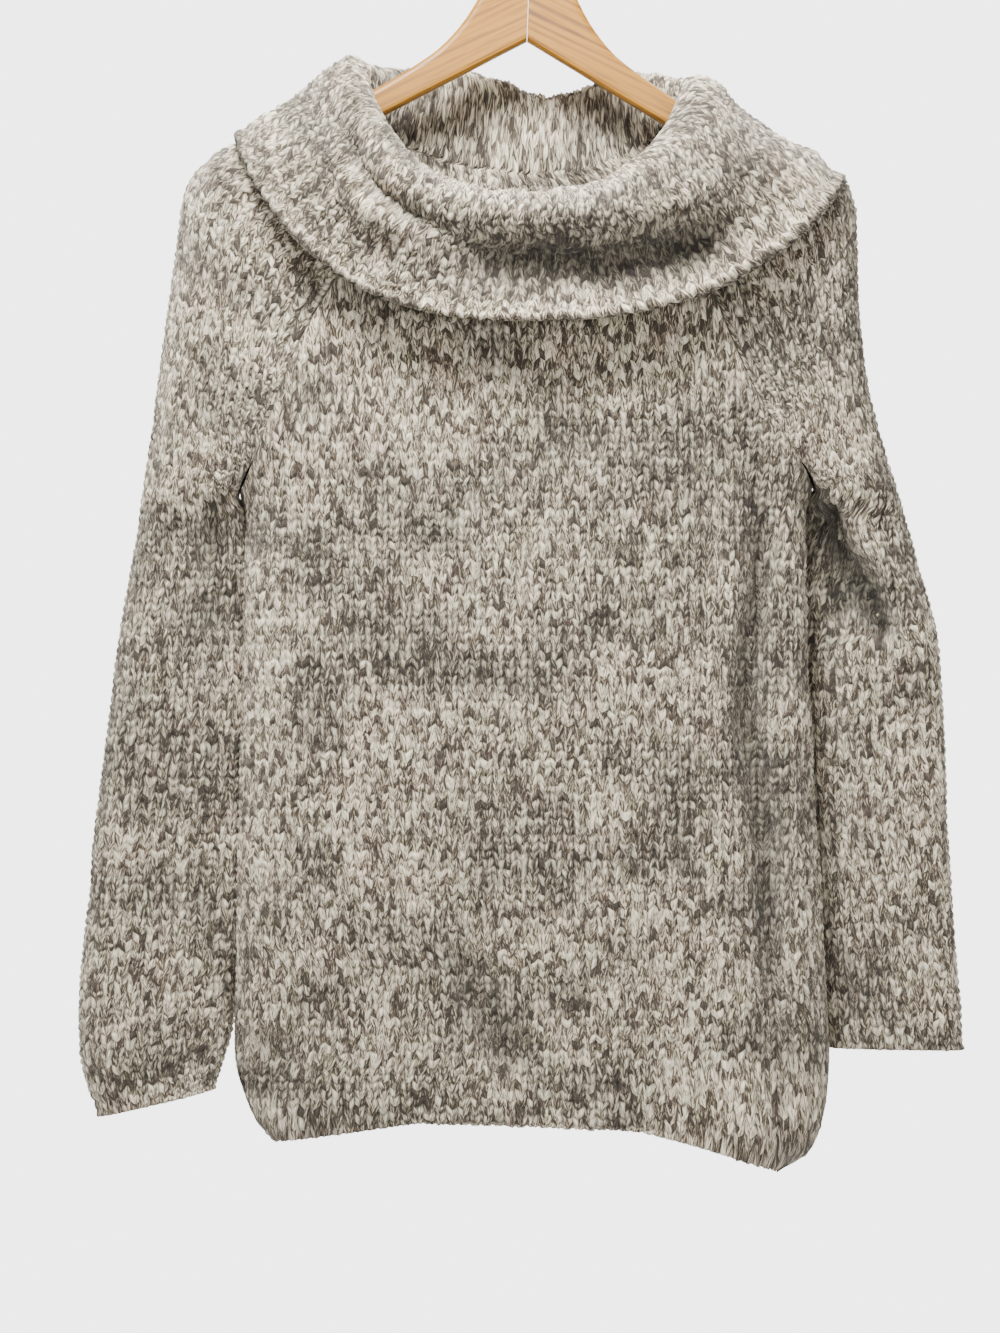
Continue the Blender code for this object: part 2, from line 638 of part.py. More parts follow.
def main():
    """Build the sweater and its hanger."""
    clear_scene()
    sweater = bpy.data.collections.new("chunky_knit_sweater_on_hanger")
    cutters = bpy.data.collections.new("cutters")
    bpy.context.scene.collection.children.link(sweater)
    bpy.context.scene.collection.children.link(cutters)
    knit = make_material("marl_knit", (0.40, 0.36, 0.30), 0.95)
    wood = make_material("hanger_wood", (0.78, 0.48, 0.22), 0.45)
    metal = make_material("hook_metal", (0.62, 0.62, 0.64), 0.25, metallic=1.0)
    neck_points, neck_normals = make_body(knit, sweater)
    make_collar(neck_points, neck_normals, knit, sweater)
    make_hanger(wood, metal, sweater, cutters)


main()
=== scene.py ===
"""Looks of the chunky marl knit sweater with a folded cowl collar, on its wooden hanger.

Each cloth piece is laid on the form that the CAD part gives it: the same short tables, in
millimetres and in the part's frame, are sampled finely, pushed by soft creases, and covered
with knit stitches in relief. A stitch is two slanted legs, four faces across and four along.
"""
import logging
import math
from dataclasses import dataclass, field
from enum import Enum

import bmesh
import bpy
import numpy as np
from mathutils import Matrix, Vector


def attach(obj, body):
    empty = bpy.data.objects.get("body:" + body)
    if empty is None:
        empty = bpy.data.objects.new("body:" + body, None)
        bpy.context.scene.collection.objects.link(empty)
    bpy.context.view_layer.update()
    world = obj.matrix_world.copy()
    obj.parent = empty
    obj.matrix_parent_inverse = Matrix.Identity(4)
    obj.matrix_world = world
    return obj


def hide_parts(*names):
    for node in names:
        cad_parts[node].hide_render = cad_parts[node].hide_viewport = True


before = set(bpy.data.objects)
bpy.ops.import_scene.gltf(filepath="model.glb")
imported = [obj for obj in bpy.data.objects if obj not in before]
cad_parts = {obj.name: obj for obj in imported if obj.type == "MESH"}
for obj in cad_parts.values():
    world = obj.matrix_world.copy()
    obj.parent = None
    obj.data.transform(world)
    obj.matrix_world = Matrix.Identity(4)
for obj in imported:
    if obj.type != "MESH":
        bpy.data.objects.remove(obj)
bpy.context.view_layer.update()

log = logging.getLogger("sweater")
MM = 0.001
FAR = 1e3
EDGE_INSET = 0.15
Value = bpy.types.NodeSocket | tuple | float


class Facing(Enum):
    """Which way a body panel looks, as the sign of y."""

    FRONT = -1
    BACK = 1


class Side(Enum):
    """Left or right as seen from the front, as the sign of x."""

    LEFT = -1
    RIGHT = 1


def table_at(table: tuple, steps: np.ndarray) -> np.ndarray:
    """Read rows of a table between its rows.

    Args:
        table: Rows of numbers.
        steps: Fractional row numbers.

    Returns:
        One row of numbers for each step, on a smooth curve through the table's rows.
    """
    rows = np.array(table, dtype=float)
    rows = np.vstack([2 * rows[0] - rows[1], rows, 2 * rows[-1] - rows[-2]])
    first = np.minimum(steps.astype(int), len(table) - 2)
    t = (steps - first)[:, None]
    before, start, end, after = (rows[first + k] for k in range(4))
    return 0.5 * (
        2 * start
        + (end - before) * t
        + (2 * before - 5 * start + 4 * end - after) * t ** 2
        + (3 * start - before - 3 * end + after) * t ** 3
    )


def table_steps(table: tuple, per_row: int) -> np.ndarray:
    """Fractional row numbers that run through a whole table.

    Args:
        table: Rows of numbers.
        per_row: Steps for each interval.

    Returns:
        The row numbers.
    """
    return np.linspace(0.0, len(table) - 1, (len(table) - 1) * per_row + 1)


def rounded(share: np.ndarray, power: float) -> np.ndarray:
    """Height of a flattened tube over its middle plane.

    Args:
        share: Place across the tube, 0 to 1.
        power: How flat the tube is; more is flatter, with tighter edges.

    Returns:
        Height, 0 at both edges and 1 between.
    """
    return np.sqrt(np.clip(1 - np.abs(2 * share - 1) ** power, 0.0, 1.0))


def crowded(count: int) -> np.ndarray:
    """Shares from 0 to 1 that lie closer together near both ends.

    Args:
        count: Number of intervals.

    Returns:
        count + 1 shares.
    """
    return (1 - np.cos(np.pi * np.linspace(0.0, 1.0, count + 1))) / 2


def grid_normals(points: np.ndarray) -> np.ndarray:
    """Unit normals of a grid of points.

    Args:
        points: Grid, rows by columns by 3.

    Returns:
        Normals in the same layout, columns crossed with rows.
    """
    normals = np.cross(np.gradient(points, axis=1), np.gradient(points, axis=0))
    return normals / np.maximum(np.linalg.norm(normals, axis=2, keepdims=True), 1e-9)


def wander(shape: tuple, step: tuple, seed: int) -> np.ndarray:
    """A smooth random field, from -1 to 1, whose last column meets its first.

    Args:
        shape: Rows and columns of the field.
        step: Cells between the random values it is drawn through, down and across.
        seed: Seed of the random values.

    Returns:
        The field.
    """
    dice = np.random.default_rng(seed)
    cells = [max(1, round((count - 1) / size)) for count, size in zip(shape, step)]
    mixed = dice.uniform(-1.0, 1.0, (cells[0] + 1, cells[1] + 1))
    mixed[:, -1] = mixed[:, 0]
    for axis in (0, 1):
        at = np.linspace(0.0, cells[axis], shape[axis])
        low = np.minimum(at.astype(int), cells[axis] - 1)
        blend = at - low
        blend = blend * blend * (3 - 2 * blend)
        blend = blend[:, None] if axis == 0 else blend[None, :]
        mixed = np.take(mixed, low, axis) * (1 - blend) + np.take(mixed, low + 1, axis) * blend
    return mixed


@dataclass(frozen=True)
class Gauge:
    """The knit's gauge and relief, in millimetres.

    A stitch's faces start at the gap between two wales. Its columns are the gap, one leg, the
    middle of the V and the other leg; each column starts its rows a little lower.

    Attributes:
        wale: Width of a stitch.
        row: Height of a stitch.
        across: Height of each column.
        along: Height of each row on a leg.
        between: Share of that height beside the legs.
        droop: Rows by which each column starts lower.
        uneven: Unevenness from stitch to stitch.
        billow: Unevenness of the cloth.
        sway: How far the yarn strays sideways and along.
        drift: How much more a whole wale strays along.
        base: Height of all of it over the cloth.
        spacings: Cells between the random values of uneven, billow, sway and drift.
    """

    wale: float = 8.0
    row: float = 5.8
    across: tuple = (-1.15, 0.42, -0.55, 0.42)
    along: tuple = (-0.66, 0.10, 0.38, 0.16)
    between: float = 0.45
    droop: tuple = (0, 1, 2, 1)
    uneven: float = 0.50
    billow: float = 1.1
    sway: float = 1.0
    drift: float = 1.4
    base: float = -0.45
    spacings: tuple = (2.0, 22.0, 3.0, 14.0)

    @property
    def row_step(self) -> float:
        """Distance between rows of points."""
        return self.row / len(self.along)

    @property
    def wale_step(self) -> float:
        """Distance between columns of points."""
        return self.wale / len(self.across)

    def relief(self, shape: tuple, seed: int) -> np.ndarray:
        """Height of the stitches over the cloth's surface.

        Args:
            shape: Rows and columns of points, before the droop.
            seed: Seed of the unevenness.

        Returns:
            Heights in millimetres.
        """
        down = np.arange(shape[0]) % len(self.along)
        over = np.arange(shape[1]) % len(self.across)
        strength = np.where(over % 2 == 1, 1.0, self.between)
        height = np.array(self.across)[over][None, :] + np.array(self.along)[down][:, None] * strength
        fine, broad = self.spacings[:2]
        stitch = wander(shape, (fine, fine), seed) * self.uneven
        billow = wander(shape, (broad, broad), seed + 1) * self.billow
        return self.base + height + stitch + billow

    def straying(self, shape: tuple, seed: int) -> np.ndarray:
        """How far the yarn strays from its place.

        Args:
            shape: Rows and columns of points.
            seed: Seed of the piece.

        Returns:
            Shifts sideways and along, in millimetres.
        """
        near, long = self.spacings[2:]
        along = wander(shape, (near, near), seed + 3)
        along = along + wander(shape, (long, near), seed + 4) * self.drift
        return np.stack([wander(shape, (near, near), seed + 2), along], axis=2) * self.sway


@dataclass(frozen=True)
class Crease:
    """A soft ridge or trough along a line over the cloth.

    Attributes:
        line: Points x, z of the line, in millimetres from the hanger's joint line.
        lift: Height of the ridge, below zero for a trough.
        width: Distance from the line at which it has faded.
        facing: Sign of y of the side that it lies on, or 0 for both.
        taper: Share of the line over which its ends fade.
        ends: Share of the lift that is left at the very ends.
        turn: Share of the lift where the cloth looks sideways, and its growth with the turn.
    """

    line: tuple
    lift: float
    width: float
    facing: int = -1
    taper: float = 0.25
    ends: float = 0.25
    turn: tuple = (0.3, 2.0)

    def height(self, points: np.ndarray, normals: np.ndarray) -> np.ndarray:
        """Height that the crease adds.

        Args:
            points: Grid of points.
            normals: Outward normals.

        Returns:
            Heights for each point.
        """
        line = np.array(self.line, dtype=float)
        spans = np.linalg.norm(np.diff(line, axis=0), axis=1)
        starts = np.concatenate([[0.0], np.cumsum(spans)])
        near = np.full(points.shape[:2], np.inf)
        place = np.zeros(points.shape[:2])
        flat = points[..., [0, 2]]
        for k, span in enumerate(spans):
            along = (line[k + 1] - line[k]) / span
            t = np.clip((flat - line[k]) @ along, 0.0, span)
            away = np.linalg.norm(flat - line[k] - t[..., None] * along, axis=2)
            closer = away < near
            near = np.where(closer, away, near)
            place = np.where(closer, (starts[k] + t) / starts[-1], place)
        ends = np.clip(np.minimum(place, 1 - place) / self.taper, 0.0, 1.0)
        ends = self.ends + (1 - self.ends) * ends * ends * (3 - 2 * ends)
        height = self.lift * np.exp(-(near / self.width) ** 2) * ends
        if self.facing:
            start, growth = self.turn
            height = height * np.clip(start + growth * self.facing * normals[..., 1], 0.0, 1.0)
        return height


@dataclass(frozen=True)
class Garment:
    """The garment's form, as the CAD part's tables give it, in millimetres.

    Attributes:
        body: Left edge x, z, right edge x, z, front and back depth, from hem to armpit.
        hem_lift: Share across, and height of the hem over the line between its corners.
        yoke_left: Front seam x, z, back seam x, z and ridge x, z, from armpit to neck.
        yoke_right: The same on the right.
        ridge_runs_left: Distance of the last ridges from the hanger's middle line.
        ridge_runs_right: The same on the right.
        sleeve_left: Inner edge x, y, z, outer edge x, y, z and half depth, down the sleeve.
        sleeve_right: The same on the right.
        collar: What _ring reads, from the neck seam to the free edge.
    """

    wall: float = 4.5
    rest_gap: float = 0.8
    tilt: float = math.radians(2.0)
    apex_z: float = -135.8
    arm_end: tuple = ((118.0, -181.0), (209.0, -225.3))
    edge_power: float = 8.0
    sleeve_power: float = 4.0
    armpit_round: float = 45.0
    body: tuple = (
        (-175, -905, 175, -926, 20, 20),
        (-188.5, -893, 198, -912, 22, 21),
        (-198.5, -871, 208.5, -884, 24, 22),
        (-204.5, -846, 212, -846, 25, 23),
        (-204.5, -800, 210, -800, 27, 24),
        (-203, -730, 206, -730, 29, 26),
        (-201, -640, 200.5, -640, 30, 27),
        (-199, -550, 196, -550, 31, 28),
        (-198, -500, 195, -500, 32, 28),
        (-197.5, -470, 195.5, -467, 32, 28),
        (-201, -453, 200, -449, 32, 28),
    )
    hem_lift: tuple = (
        (0.0, 0.0), (0.14, 10.0), (0.28, 20.0), (0.53, 23.0),
        (0.73, 23.5), (0.81, 18.0), (0.90, 10.5), (1.0, 0.0),
    )
    back_hem_lift: float = 6.0
    hem_rows: float = 5.0
    front_neck_drop: float = 32.0
    back_neck_drop: float = 16.0
    front_neck_depth: float = 31.0
    back_neck_depth: float = 27.0
    yoke_front_depth: tuple = (26.0, 31.0)
    yoke_back_depth: tuple = (26.0, 27.0)
    yoke_left: tuple = (
        (-201, -453, -201, -453, -269.5, -453),
        (-195, -441, -195, -440, -265, -425),
        (-183, -412, -181, -408, -257, -372),
        (-167, -368, -162, -360, -248.5, -305),
        (-152, -337, -147, -327, -244, -268),
        (-142, -320, -138, -305, -239.5, -243),
        (-133, -305, -130, -286, -230, -224.5),
        (-124, -290, -121, -266, 0, 0),
        (-113, -274, -111, -244, 0, 0),
        (-103, -258, -100, -222, 0, 0),
    )
    yoke_right: tuple = (
        (200, -449, 200, -449, 259, -449),
        (194, -437, 195, -437, 250, -420),
        (178, -412, 181, -406, 239, -376),
        (157, -380, 162, -360, 232.5, -314),
        (143, -349, 147, -327, 231.5, -274),
        (134, -327, 138, -305, 230, -250),
        (127, -310, 130, -286, 221.5, -232.5),
        (120, -294, 121, -266, 0, 0),
        (112, -276, 111, -244, 0, 0),
        (104, -258, 100, -222, 0, 0),
    )
    ridge_runs_left: tuple = (205.0, 164.0, 121.0)
    ridge_runs_right: tuple = (205.0, 163.0, 114.0)
    sleeve_left: tuple = (
        (-201, 0, -453, -269.5, 0, -453, 26),
        (-199.5, 8, -470, -272, 0, -470, 25),
        (-197.5, 16, -500, -277, 1, -500, 24),
        (-197.5, 19, -560, -287, 3, -560, 23),
        (-199.5, 18, -640, -298, 5, -640, 23),
        (-201.5, 18, -720, -306.5, 7, -720, 22),
        (-203.5, 17, -790, -313.5, 9, -790, 21),
        (-207, 16, -826, -315, 10, -830, 20),
        (-214, 15, -850, -312, 11, -858, 19),
        (-219.5, 14, -870, -300.5, 12, -889, 17),
    )
    sleeve_right: tuple = (
        (200, 0, -449, 259, 0, -449, 26),
        (197, 12, -467, 264, 0, -466, 25),
        (193, 23, -500, 273, 1, -498, 23),
        (191.5, 30, -560, 288, 2, -556, 22),
        (194, 32, -640, 293, 4, -636, 21),
        (198, 33, -720, 296.5, 6, -716, 20),
        (202, 33, -780, 301.5, 8, -778, 19),
        (204, 32, -815, 304.5, 9, -816, 18),
        (207, 32, -842, 307, 10, -842, 17),
    )
    collar: tuple = (
        (121, 112, 29, 27, -276, -168, -171, -222, 2),
        (118, 111, 28, 29, -262, -159, -168, -192, 6),
        (116, 112, 32, 33, -252, -151.5, -164, -159, 15),
        (123, 121, 45, 39, -248.5, -148.5, -163, -152, 18),
        (133, 134, 60, 47, -254, -154.5, -169, -159, 15),
        (146, 144, 69, 52, -268, -165, -182, -186, 8),
        (159, 162, 68, 54, -287, -175, -196, -218, 3),
        (177, 184, 60, 54, -309, -187, -209, -247, 0),
        (193, 207, 55, 52, -326, -196, -219, -272, 0),
        (204, 223, 56, 51, -337, -204, -230, -288, 0),
    )
    seam_way: tuple = (0.35, 1.0, 0.0)
    ring_square: tuple = (0.8, 0.42)
    ring_drop_power: float = 1.5
    back_dip: tuple = (16.0, 36.0)

    @property
    def joint_x(self) -> float:
        """World x of the hanger's joint line, from which the tables' x is measured."""
        return self.apex_z * math.sin(self.tilt)

    @property
    def arm_slope(self) -> float:
        """Fall of the hanger's arm for each step outwards."""
        (run_a, z_a), (run_b, z_b) = self.arm_end
        return (z_a - z_b) / (run_b - run_a)

    def ridge_on_arm(self, side: Side, run: float) -> tuple:
        """Where the outside of the cloth lies over the hanger's arm.

        Args:
            side: Which arm.
            run: Distance from the hanger's middle line.

        Returns:
            Table x and z.
        """
        run_a, z_a = self.arm_end[0]
        lift = (self.wall + self.rest_gap) * math.hypot(1.0, self.arm_slope)
        x, z = side.value * run, z_a - self.arm_slope * (run - run_a) + lift
        turned_x = x * math.cos(self.tilt) + z * math.sin(self.tilt)
        return turned_x - self.joint_x, z * math.cos(self.tilt) - x * math.sin(self.tilt)

    def yoke(self, side: Side) -> np.ndarray:
        """The yoke's table with its last ridges laid on the hanger.

        Args:
            side: Which sleeve.

        Returns:
            Rows of front seam x, z, back seam x, z, ridge x, z.
        """
        left = side is Side.LEFT
        table = np.array(self.yoke_left if left else self.yoke_right)
        runs = self.ridge_runs_left if left else self.ridge_runs_right
        for row, run in zip(range(len(table) - len(runs), len(table)), runs):
            table[row, 4:6] = self.ridge_on_arm(side, run)
        return table

    def seam_depth(self, height: np.ndarray, armpit: float, depth: np.ndarray) -> np.ndarray:
        """Depth of a raglan seam, which starts at nothing at the armpit.

        Args:
            height: Heights on the seam.
            armpit: Height of the armpit.
            depth: Full depth of the body there.

        Returns:
            Depths of the seam.
        """
        rise = np.clip((height - armpit) / self.armpit_round, 0.0, 1.0)
        return depth * np.sqrt(np.clip(1 - (1 - rise) ** 2, 0.0, 1.0))

    def panel(self, facing: Facing, per_row: int, shares: np.ndarray) -> np.ndarray:
        """Sample the front or the back.

        Args:
            facing: Which panel.
            per_row: Levels for each interval of the tables.
            shares: Places across the panel.

        Returns:
            Points from hem to neck and from the left seam to the right seam.
        """
        front = facing is Facing.FRONT
        column = 4 if front else 5
        seam = slice(0, 2) if front else slice(2, 4)
        extra = 0.0 if front else self.back_hem_lift
        hem_shares, hem_lifts = np.array(self.hem_lift).T
        hem = np.interp(shares, hem_shares, hem_lifts) + extra * rounded(shares, 2.0)
        steps = table_steps(self.body, per_row)
        rows = table_at(self.body, steps)
        fade = np.clip(1 - steps / self.hem_rows, 0.0, 1.0) ** 2
        lower = self._rows(
            rows[:, 0:2], rows[:, 2:4], np.zeros((len(rows), 2)), rows[:, column], facing,
            fade[:, None] * hem[None, :], shares,
        )
        steps = table_steps(self.yoke_left, per_row)[1:]
        level = steps / (len(self.yoke_left) - 1)
        left = table_at(self.yoke(Side.LEFT), steps)[:, seam]
        right = table_at(self.yoke(Side.RIGHT), steps)[:, seam]
        neck_depth = self.front_neck_depth if front else self.back_neck_depth
        neck_drop = self.front_neck_drop if front else self.back_neck_drop
        start_depth = self.body[-1][column]
        depth = start_depth + (neck_depth - start_depth) * level
        seams = np.stack([
            self.seam_depth(left[:, 1], self.yoke_left[0][1], depth),
            self.seam_depth(right[:, 1], self.yoke_right[0][1], depth),
        ], axis=1)
        drop = -neck_drop * level[:, None] ** 2 * rounded(shares, 2.0)[None, :] ** 2
        upper = self._rows(left, right, seams, depth, facing, drop, shares)
        return np.concatenate([lower, upper])

    def _rows(
        self, start: np.ndarray, end: np.ndarray, seams: np.ndarray, depth: np.ndarray,
        facing: Facing, lift: np.ndarray, shares: np.ndarray,
    ) -> np.ndarray:
        """Rows of a body panel from their ends, seam depths, depth and lift.

        Args:
            start: Left seam x, z for each row.
            end: Right seam x, z for each row.
            seams: Depth of the left and right seam for each row.
            depth: Depth of the panel for each row.
            facing: Which panel.
            lift: Height added, rows by shares.
            shares: Places across the panel.

        Returns:
            Grid of points.
        """
        x = start[:, :1] + (end[:, :1] - start[:, :1]) * shares
        z = start[:, 1:] + (end[:, 1:] - start[:, 1:]) * shares + lift
        at_seam = seams[:, :1] + (seams[:, 1:] - seams[:, :1]) * shares
        full = rounded(shares, self.edge_power)[None, :]
        y = np.sqrt(at_seam ** 2 + (depth[:, None] ** 2 - at_seam ** 2) * full ** 2)
        return np.stack([x, facing.value * y, z], axis=2)

    def sleeve(self, side: Side, per_row: int, shares: np.ndarray) -> tuple:
        """Sample a sleeve as two halves.

        Args:
            side: Which sleeve.
            per_row: Levels for each interval of the tables.
            shares: Places from the seam or inner edge (0) to the outer edge (1).

        Returns:
            Front half, back half, both from cuff to neck, and the number of levels that are
            part of the tube below the armpit.
        """
        table = self.sleeve_left if side is Side.LEFT else self.sleeve_right
        tube = table_at(table, table_steps(table, per_row))[::-1]
        yoke = self.yoke(side)
        rise = table_steps(self.yoke_left, per_row)[1:]
        rows = table_at(yoke, rise)
        level = rise / (len(self.yoke_left) - 1)
        halves = []
        for facing, seam, depths, column, neck_depth in (
            (-1, rows[:, 0:2], self.yoke_front_depth, 4, self.front_neck_depth),
            (1, rows[:, 2:4], self.yoke_back_depth, 5, self.back_neck_depth),
        ):
            start_depth = self.body[-1][column]
            seam_y = self.seam_depth(
                seam[:, 1], yoke[0][1], start_depth + (neck_depth - start_depth) * level,
            )
            depth = depths[0] + (depths[1] - depths[0]) * np.minimum(1.0, 2 * level)
            zero = np.zeros(len(rows))
            inner = np.stack([seam[:, 0], zero, seam[:, 1]], axis=1)
            outer = np.stack([rows[:, 4], zero, rows[:, 5]], axis=1)
            halves.append(np.concatenate([
                self._half(tube[:, 0:3], tube[:, 3:6], 0 * tube[:, 6], tube[:, 6], facing, shares),
                self._half(inner, outer, seam_y, depth, facing, shares),
            ]))
        return halves[0], halves[1], len(tube)

    def _half(
        self, inner: np.ndarray, outer: np.ndarray, seam_y: np.ndarray, depth: np.ndarray,
        facing: int, shares: np.ndarray,
    ) -> np.ndarray:
        """Half sections of a sleeve, from the inner edge out.

        Args:
            inner: Inner edge x, y, z for each row.
            outer: Outer edge x, y, z for each row.
            seam_y: Depth of the seam for each row.
            depth: Half depth for each row.
            facing: Sign of y of this half.
            shares: Places across.

        Returns:
            Grid of points.
        """
        line = inner[:, None, :] + (outer - inner)[:, None, :] * shares[None, :, None]
        full = rounded(shares, self.sleeve_power)[None, :]
        deep = depth[:, None]
        seam = seam_y[:, None]
        over_seam = np.sqrt(seam ** 2 + (deep ** 2 - seam ** 2) * full ** 2)
        line[..., 1] += facing * np.where(shares[None, :] < 0.5, over_seam, deep * full)
        return line

    def neck_line(self, count: int) -> np.ndarray:
        """The neck seam as a closed line over front, right sleeve, back and left sleeve.

        Args:
            count: Shares across each panel.

        Returns:
            Points, the last one not repeated.
        """
        shares = crowded(count)
        front = self.panel(Facing.FRONT, 1, shares)[-1]
        back = self.panel(Facing.BACK, 1, shares)[-1][::-1]
        right = self.sleeve(Side.RIGHT, 1, shares)
        left = self.sleeve(Side.LEFT, 1, shares)
        return np.vstack([
            front[:-1], right[0][-1][:-1], right[1][-1][::-1][:-1],
            back[:-1], left[1][-1][:-1], left[0][-1][::-1][:-1],
        ])

    def collar_rings(self, per_row: int, count: int) -> np.ndarray:
        """Sample the middle of the collar's wall.

        Args:
            per_row: Levels for each interval of the table.
            count: Shares across each panel on the neck seam.

        Returns:
            Closed rings from the neck seam to the free edge.
        """
        seam = self.neck_line(count)
        square_x, square_y = self.ring_square
        reach = np.where(seam[:, 0] > 0, seam[:, 0].max(), -seam[:, 0].min())
        depth = np.where(seam[:, 1] > 0, seam[:, 1].max(), -seam[:, 1].min())
        across = np.clip(np.abs(seam[:, 0]) / reach, 0, 1) ** (1 / square_x)
        deep = np.clip(np.abs(seam[:, 1]) / depth, 0, 1) ** (1 / square_y)
        angles = np.unwrap(np.arctan2(np.sign(seam[:, 1]) * deep, np.sign(seam[:, 0]) * across))
        panels = 6
        even = np.linspace(angles[0], angles[0] + 2 * np.pi, panels * count + 1)
        turned = np.concatenate([angles, angles[:1] + 2 * np.pi])
        inward = seam - self.seam_inset(seam)
        closed = np.vstack([inward, inward[:1]])
        seam_ring = np.stack([np.interp(even, turned, closed[:, k]) for k in range(3)], axis=1)
        steps = table_steps(self.collar, per_row)
        rings = np.array([self._ring(row, even) for row in table_at(self.collar, steps)])
        rise = np.linspace(0.0, 1.0, per_row + 1)[:-1, None, None]
        start = seam_ring[None] + (rings[:1] - seam_ring[None]) * rise
        return np.concatenate([start, rings])

    def seam_inset(self, seam: np.ndarray) -> np.ndarray:
        """Half the wall's thickness, from the outside of the neck seam to its middle.

        Args:
            seam: Points on the neck seam.

        Returns:
            Shifts to take away from the points.
        """
        outward = seam * np.array(self.seam_way)
        return outward / np.linalg.norm(outward, axis=1, keepdims=True) * self.wall / 2

    def _ring(self, row: np.ndarray, angles: np.ndarray) -> np.ndarray:
        """One ring of the collar.

        Args:
            row: Reach left, right, front, back, height front, left, right, back, and dip.
            angles: Angles from the right side (0), by the front (-90 degrees).

        Returns:
            Points of the ring.
        """
        left, right, front, back, z_front, z_left, z_right, z_back, dip = row
        across = np.cos(angles)
        deep = np.sin(angles)
        square_x, square_y = self.ring_square
        x = np.where(across > 0, right, left) * np.sign(across) * np.abs(across) ** square_x
        y = np.where(deep > 0, back, front) * np.sign(deep) * np.abs(deep) ** square_y
        side = z_left + (z_right - z_left) * (1 + across) / 2
        middle = np.where(deep > 0, z_back, z_front)
        z = side + (middle - side) * np.abs(deep) ** self.ring_drop_power
        dip_x, dip_width = self.back_dip
        z = z - np.where(deep > 0, dip, 0.0) * np.exp(-((x - dip_x) / dip_width) ** 2)
        return np.stack([x, y, z], axis=1)


@dataclass
class Cloth:
    """A sampled surface ready for knit: its points with its creases, and their normals."""

    points: np.ndarray
    normals: np.ndarray
    height: np.ndarray

    @classmethod
    def creased(cls, points: np.ndarray, creases: tuple, outward: float = 1.0) -> "Cloth":
        """Push a sampled surface by its creases.

        Args:
            points: Grid of points.
            creases: Creases that cross it.
            outward: 1 where columns crossed with rows point outwards, -1 where inwards.

        Returns:
            The cloth.
        """
        normals = grid_normals(points) * outward
        start = np.zeros(points.shape[:2])
        height = sum((crease.height(points, normals) for crease in creases), start)
        points = points + normals * height[..., None]
        return cls(points, grid_normals(points) * outward, height)

    def both(self) -> np.ndarray:
        """Points, normals and crease heights side by side.

        Returns:
            Grid with seven numbers for each point.
        """
        return np.concatenate([self.points, self.normals, self.height[..., None]], axis=2)


def run_lengths(points: np.ndarray) -> np.ndarray:
    """Length run along a line of points.

    Args:
        points: Points, the last axis x, y, z, the one before it along the line.

    Returns:
        Lengths from the first point.
    """
    spans = np.linalg.norm(np.diff(points, axis=-2), axis=-1)
    start = np.zeros(spans.shape[:-1] + (1,))
    return np.concatenate([start, np.cumsum(spans, axis=-1)], axis=-1)


def respaced(grid: np.ndarray, lengths: np.ndarray, wanted: np.ndarray) -> np.ndarray:
    """Read each row of a grid at other lengths along it.

    Args:
        grid: Rows by columns by numbers.
        lengths: Length at each column of each row.
        wanted: Lengths to read at, for each row.

    Returns:
        Rows by wanted columns by numbers.
    """
    read = np.empty(wanted.shape + (grid.shape[2],))
    for k in range(len(grid)):
        for item in range(grid.shape[2]):
            read[k, :, item] = np.interp(wanted[k], lengths[k], grid[k, :, item])
    return read


def even_rows(grid: np.ndarray, line: np.ndarray, spacing: float, multiple: int) -> np.ndarray:
    """Space the rows of a grid evenly along a line that runs up it.

    Args:
        grid: Rows by columns by numbers.
        line: Points of that line, one for each row.
        spacing: Wanted distance between rows.
        multiple: The number of rows is a multiple of this.

    Returns:
        The grid with evenly spaced rows.
    """
    lengths = run_lengths(line)
    count = max(1, round(lengths[-1] / spacing / multiple)) * multiple
    at = np.interp(np.linspace(0.0, lengths[-1], count + 1), lengths, np.arange(len(grid)))
    low = np.minimum(at.astype(int), len(grid) - 2)
    share = (at - low)[:, None, None]
    return grid[low] * (1 - share) + grid[low + 1] * share


